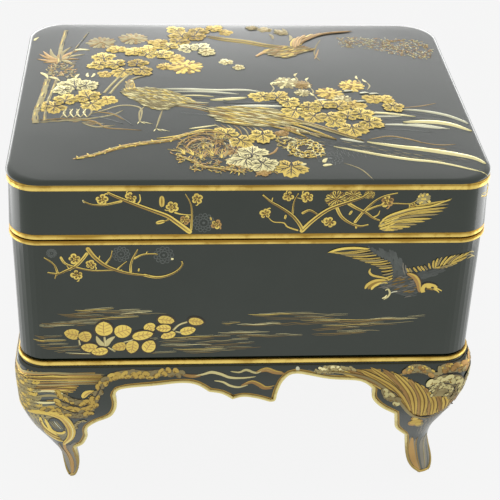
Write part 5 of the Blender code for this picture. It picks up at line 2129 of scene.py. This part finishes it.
@dataclass
class Studio:
    """The pale floor, the soft light and the camera, with angles in degrees and floor and lamps in metres."""

    camera_place: Row = (-23.4, -340.79, 272.39)
    yaw: float = 4.566
    pitch: float = 32.535
    roll: float = 2.053
    lens: float = 96.54
    sensor: float = 36
    floor_reach: float = 4
    floor_glow: float = 0.885
    sky: float = 0.9

    def camera(self) -> None:
        """Sets up the camera that looks down on the front of the box."""
        yaw, pitch, roll = (math.radians(angle) for angle in (self.yaw, self.pitch, self.roll))
        forward = Vector((math.sin(yaw) * math.cos(pitch), math.cos(yaw) * math.cos(pitch), -math.sin(pitch)))
        level = Vector((math.cos(yaw), -math.sin(yaw), 0))
        upright = level.cross(forward)
        right = level * math.cos(roll) + upright * math.sin(roll)
        upward = upright * math.cos(roll) - level * math.sin(roll)
        data = bpy.data.cameras.new("camera")
        data.lens, data.sensor_width, data.clip_start, data.clip_end = self.lens, self.sensor, 0.01, 50
        camera = bpy.data.objects.new("camera", data)
        bpy.context.scene.collection.objects.link(camera)
        place = Matrix((right, upward, -forward)).transposed().to_4x4()
        place.translation = Vector(self.camera_place) * MM
        camera.matrix_world = place
        bpy.context.scene.camera = camera

    def floor(self) -> None:
        """Lays the pale floor, which glows a little as a light table does."""
        reach = self.floor_reach
        mesh = bpy.data.meshes.new("floor")
        corners = [(-reach, -reach, 0), (reach, -reach, 0), (reach, reach, 0), (-reach, reach, 0)]
        mesh.from_pydata(corners, [], [(0, 1, 2, 3)])
        made = bpy.data.materials.new("pale_floor")
        made.use_nodes = True
        inputs = made.node_tree.nodes["Principled BSDF"].inputs
        inputs["Base Color"].default_value = (0.03, 0.03, 0.03, 1)
        inputs["Roughness"].default_value = 0.9
        inputs["Specular IOR Level"].default_value = 0
        inputs["Emission Color"].default_value = (1, 1, 1, 1)
        inputs["Emission Strength"].default_value = self.floor_glow
        mesh.materials.append(made)
        floor = bpy.data.objects.new("floor", mesh)
        bpy.context.scene.collection.objects.link(floor)

    @staticmethod
    def softbox(name: str, place: Row, aim: Row, size: Point, power: float) -> None:
        """Hangs one large soft lamp of a width, a height and a power in watts, which faces a point."""
        data = bpy.data.lights.new(name, "AREA")
        data.shape, data.size, data.size_y, data.energy = "RECTANGLE", *size, power
        lamp = bpy.data.objects.new(name, data)
        lamp.location = place
        lamp.visible_camera = False
        lamp.rotation_euler = (Vector(aim) - Vector(place)).to_track_quat("-Z", "Y").to_euler()
        bpy.context.scene.collection.objects.link(lamp)

    def light(self) -> None:
        """Sets an even, nearly white surround and the lamps."""
        world = bpy.data.worlds.new("surround")
        world.use_nodes = True
        sky = world.node_tree.nodes["Background"]
        sky.inputs["Color"].default_value = (1, 1, 1, 1)
        sky.inputs["Strength"].default_value = self.sky
        bpy.context.scene.world = world
        bpy.context.scene.view_settings.view_transform = "Standard"
        self.softbox("back_softbox", (-0.35, 1.6, 0.36), (0, 0, 0.08), (3.4, 0.5), 21)
        for name, side in (("left_softbox", -1), ("right_softbox", 1)):
            self.softbox(name, (side * 0.2, 0.03, 0.06), (0, 0.03, 0.07), (0.24, 0.12), 0.18)


def main() -> None:
    """Builds and dresses the box, the lid and the stand, and sets up the studio."""
    logging.basicConfig(level=logging.INFO, format="%(name)s: %(message)s")
    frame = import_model()
    studio = Studio()
    studio.camera()
    studio.floor()
    studio.light()
    for material_slot in frame["nodes"]["body"].material_slots:
        material_slot.material = IRON.material()
    stand, box, lid = Stand(), Box(), Lid()
    LOG.info("built %s", stand.build().name)
    stand.dress()
    box.dress()
    LOG.info("built %s", lid.build().name)
    lid.dress()
    rims = (
        GiltRim("lid_top_rim", PLAN.lid_top_rim, TWO_BEADS, crest=0.25, painted_shade=0.7),
        GiltRim("lid_base_rim", PLAN.lid_base_rim, ONE_BEAD, crest=0.2, painted_shade=1),
        GiltRim("body_rim", PLAN.body_rim, GROOVED, crest=0.1, painted_shade=1.1),
        GiltRim("stand_wire", PLAN.wire, WIRE, 1),
    )
    for rim in rims:
        LOG.info("built %s", rim.build().name)


if __name__ == "__main__":
    main()
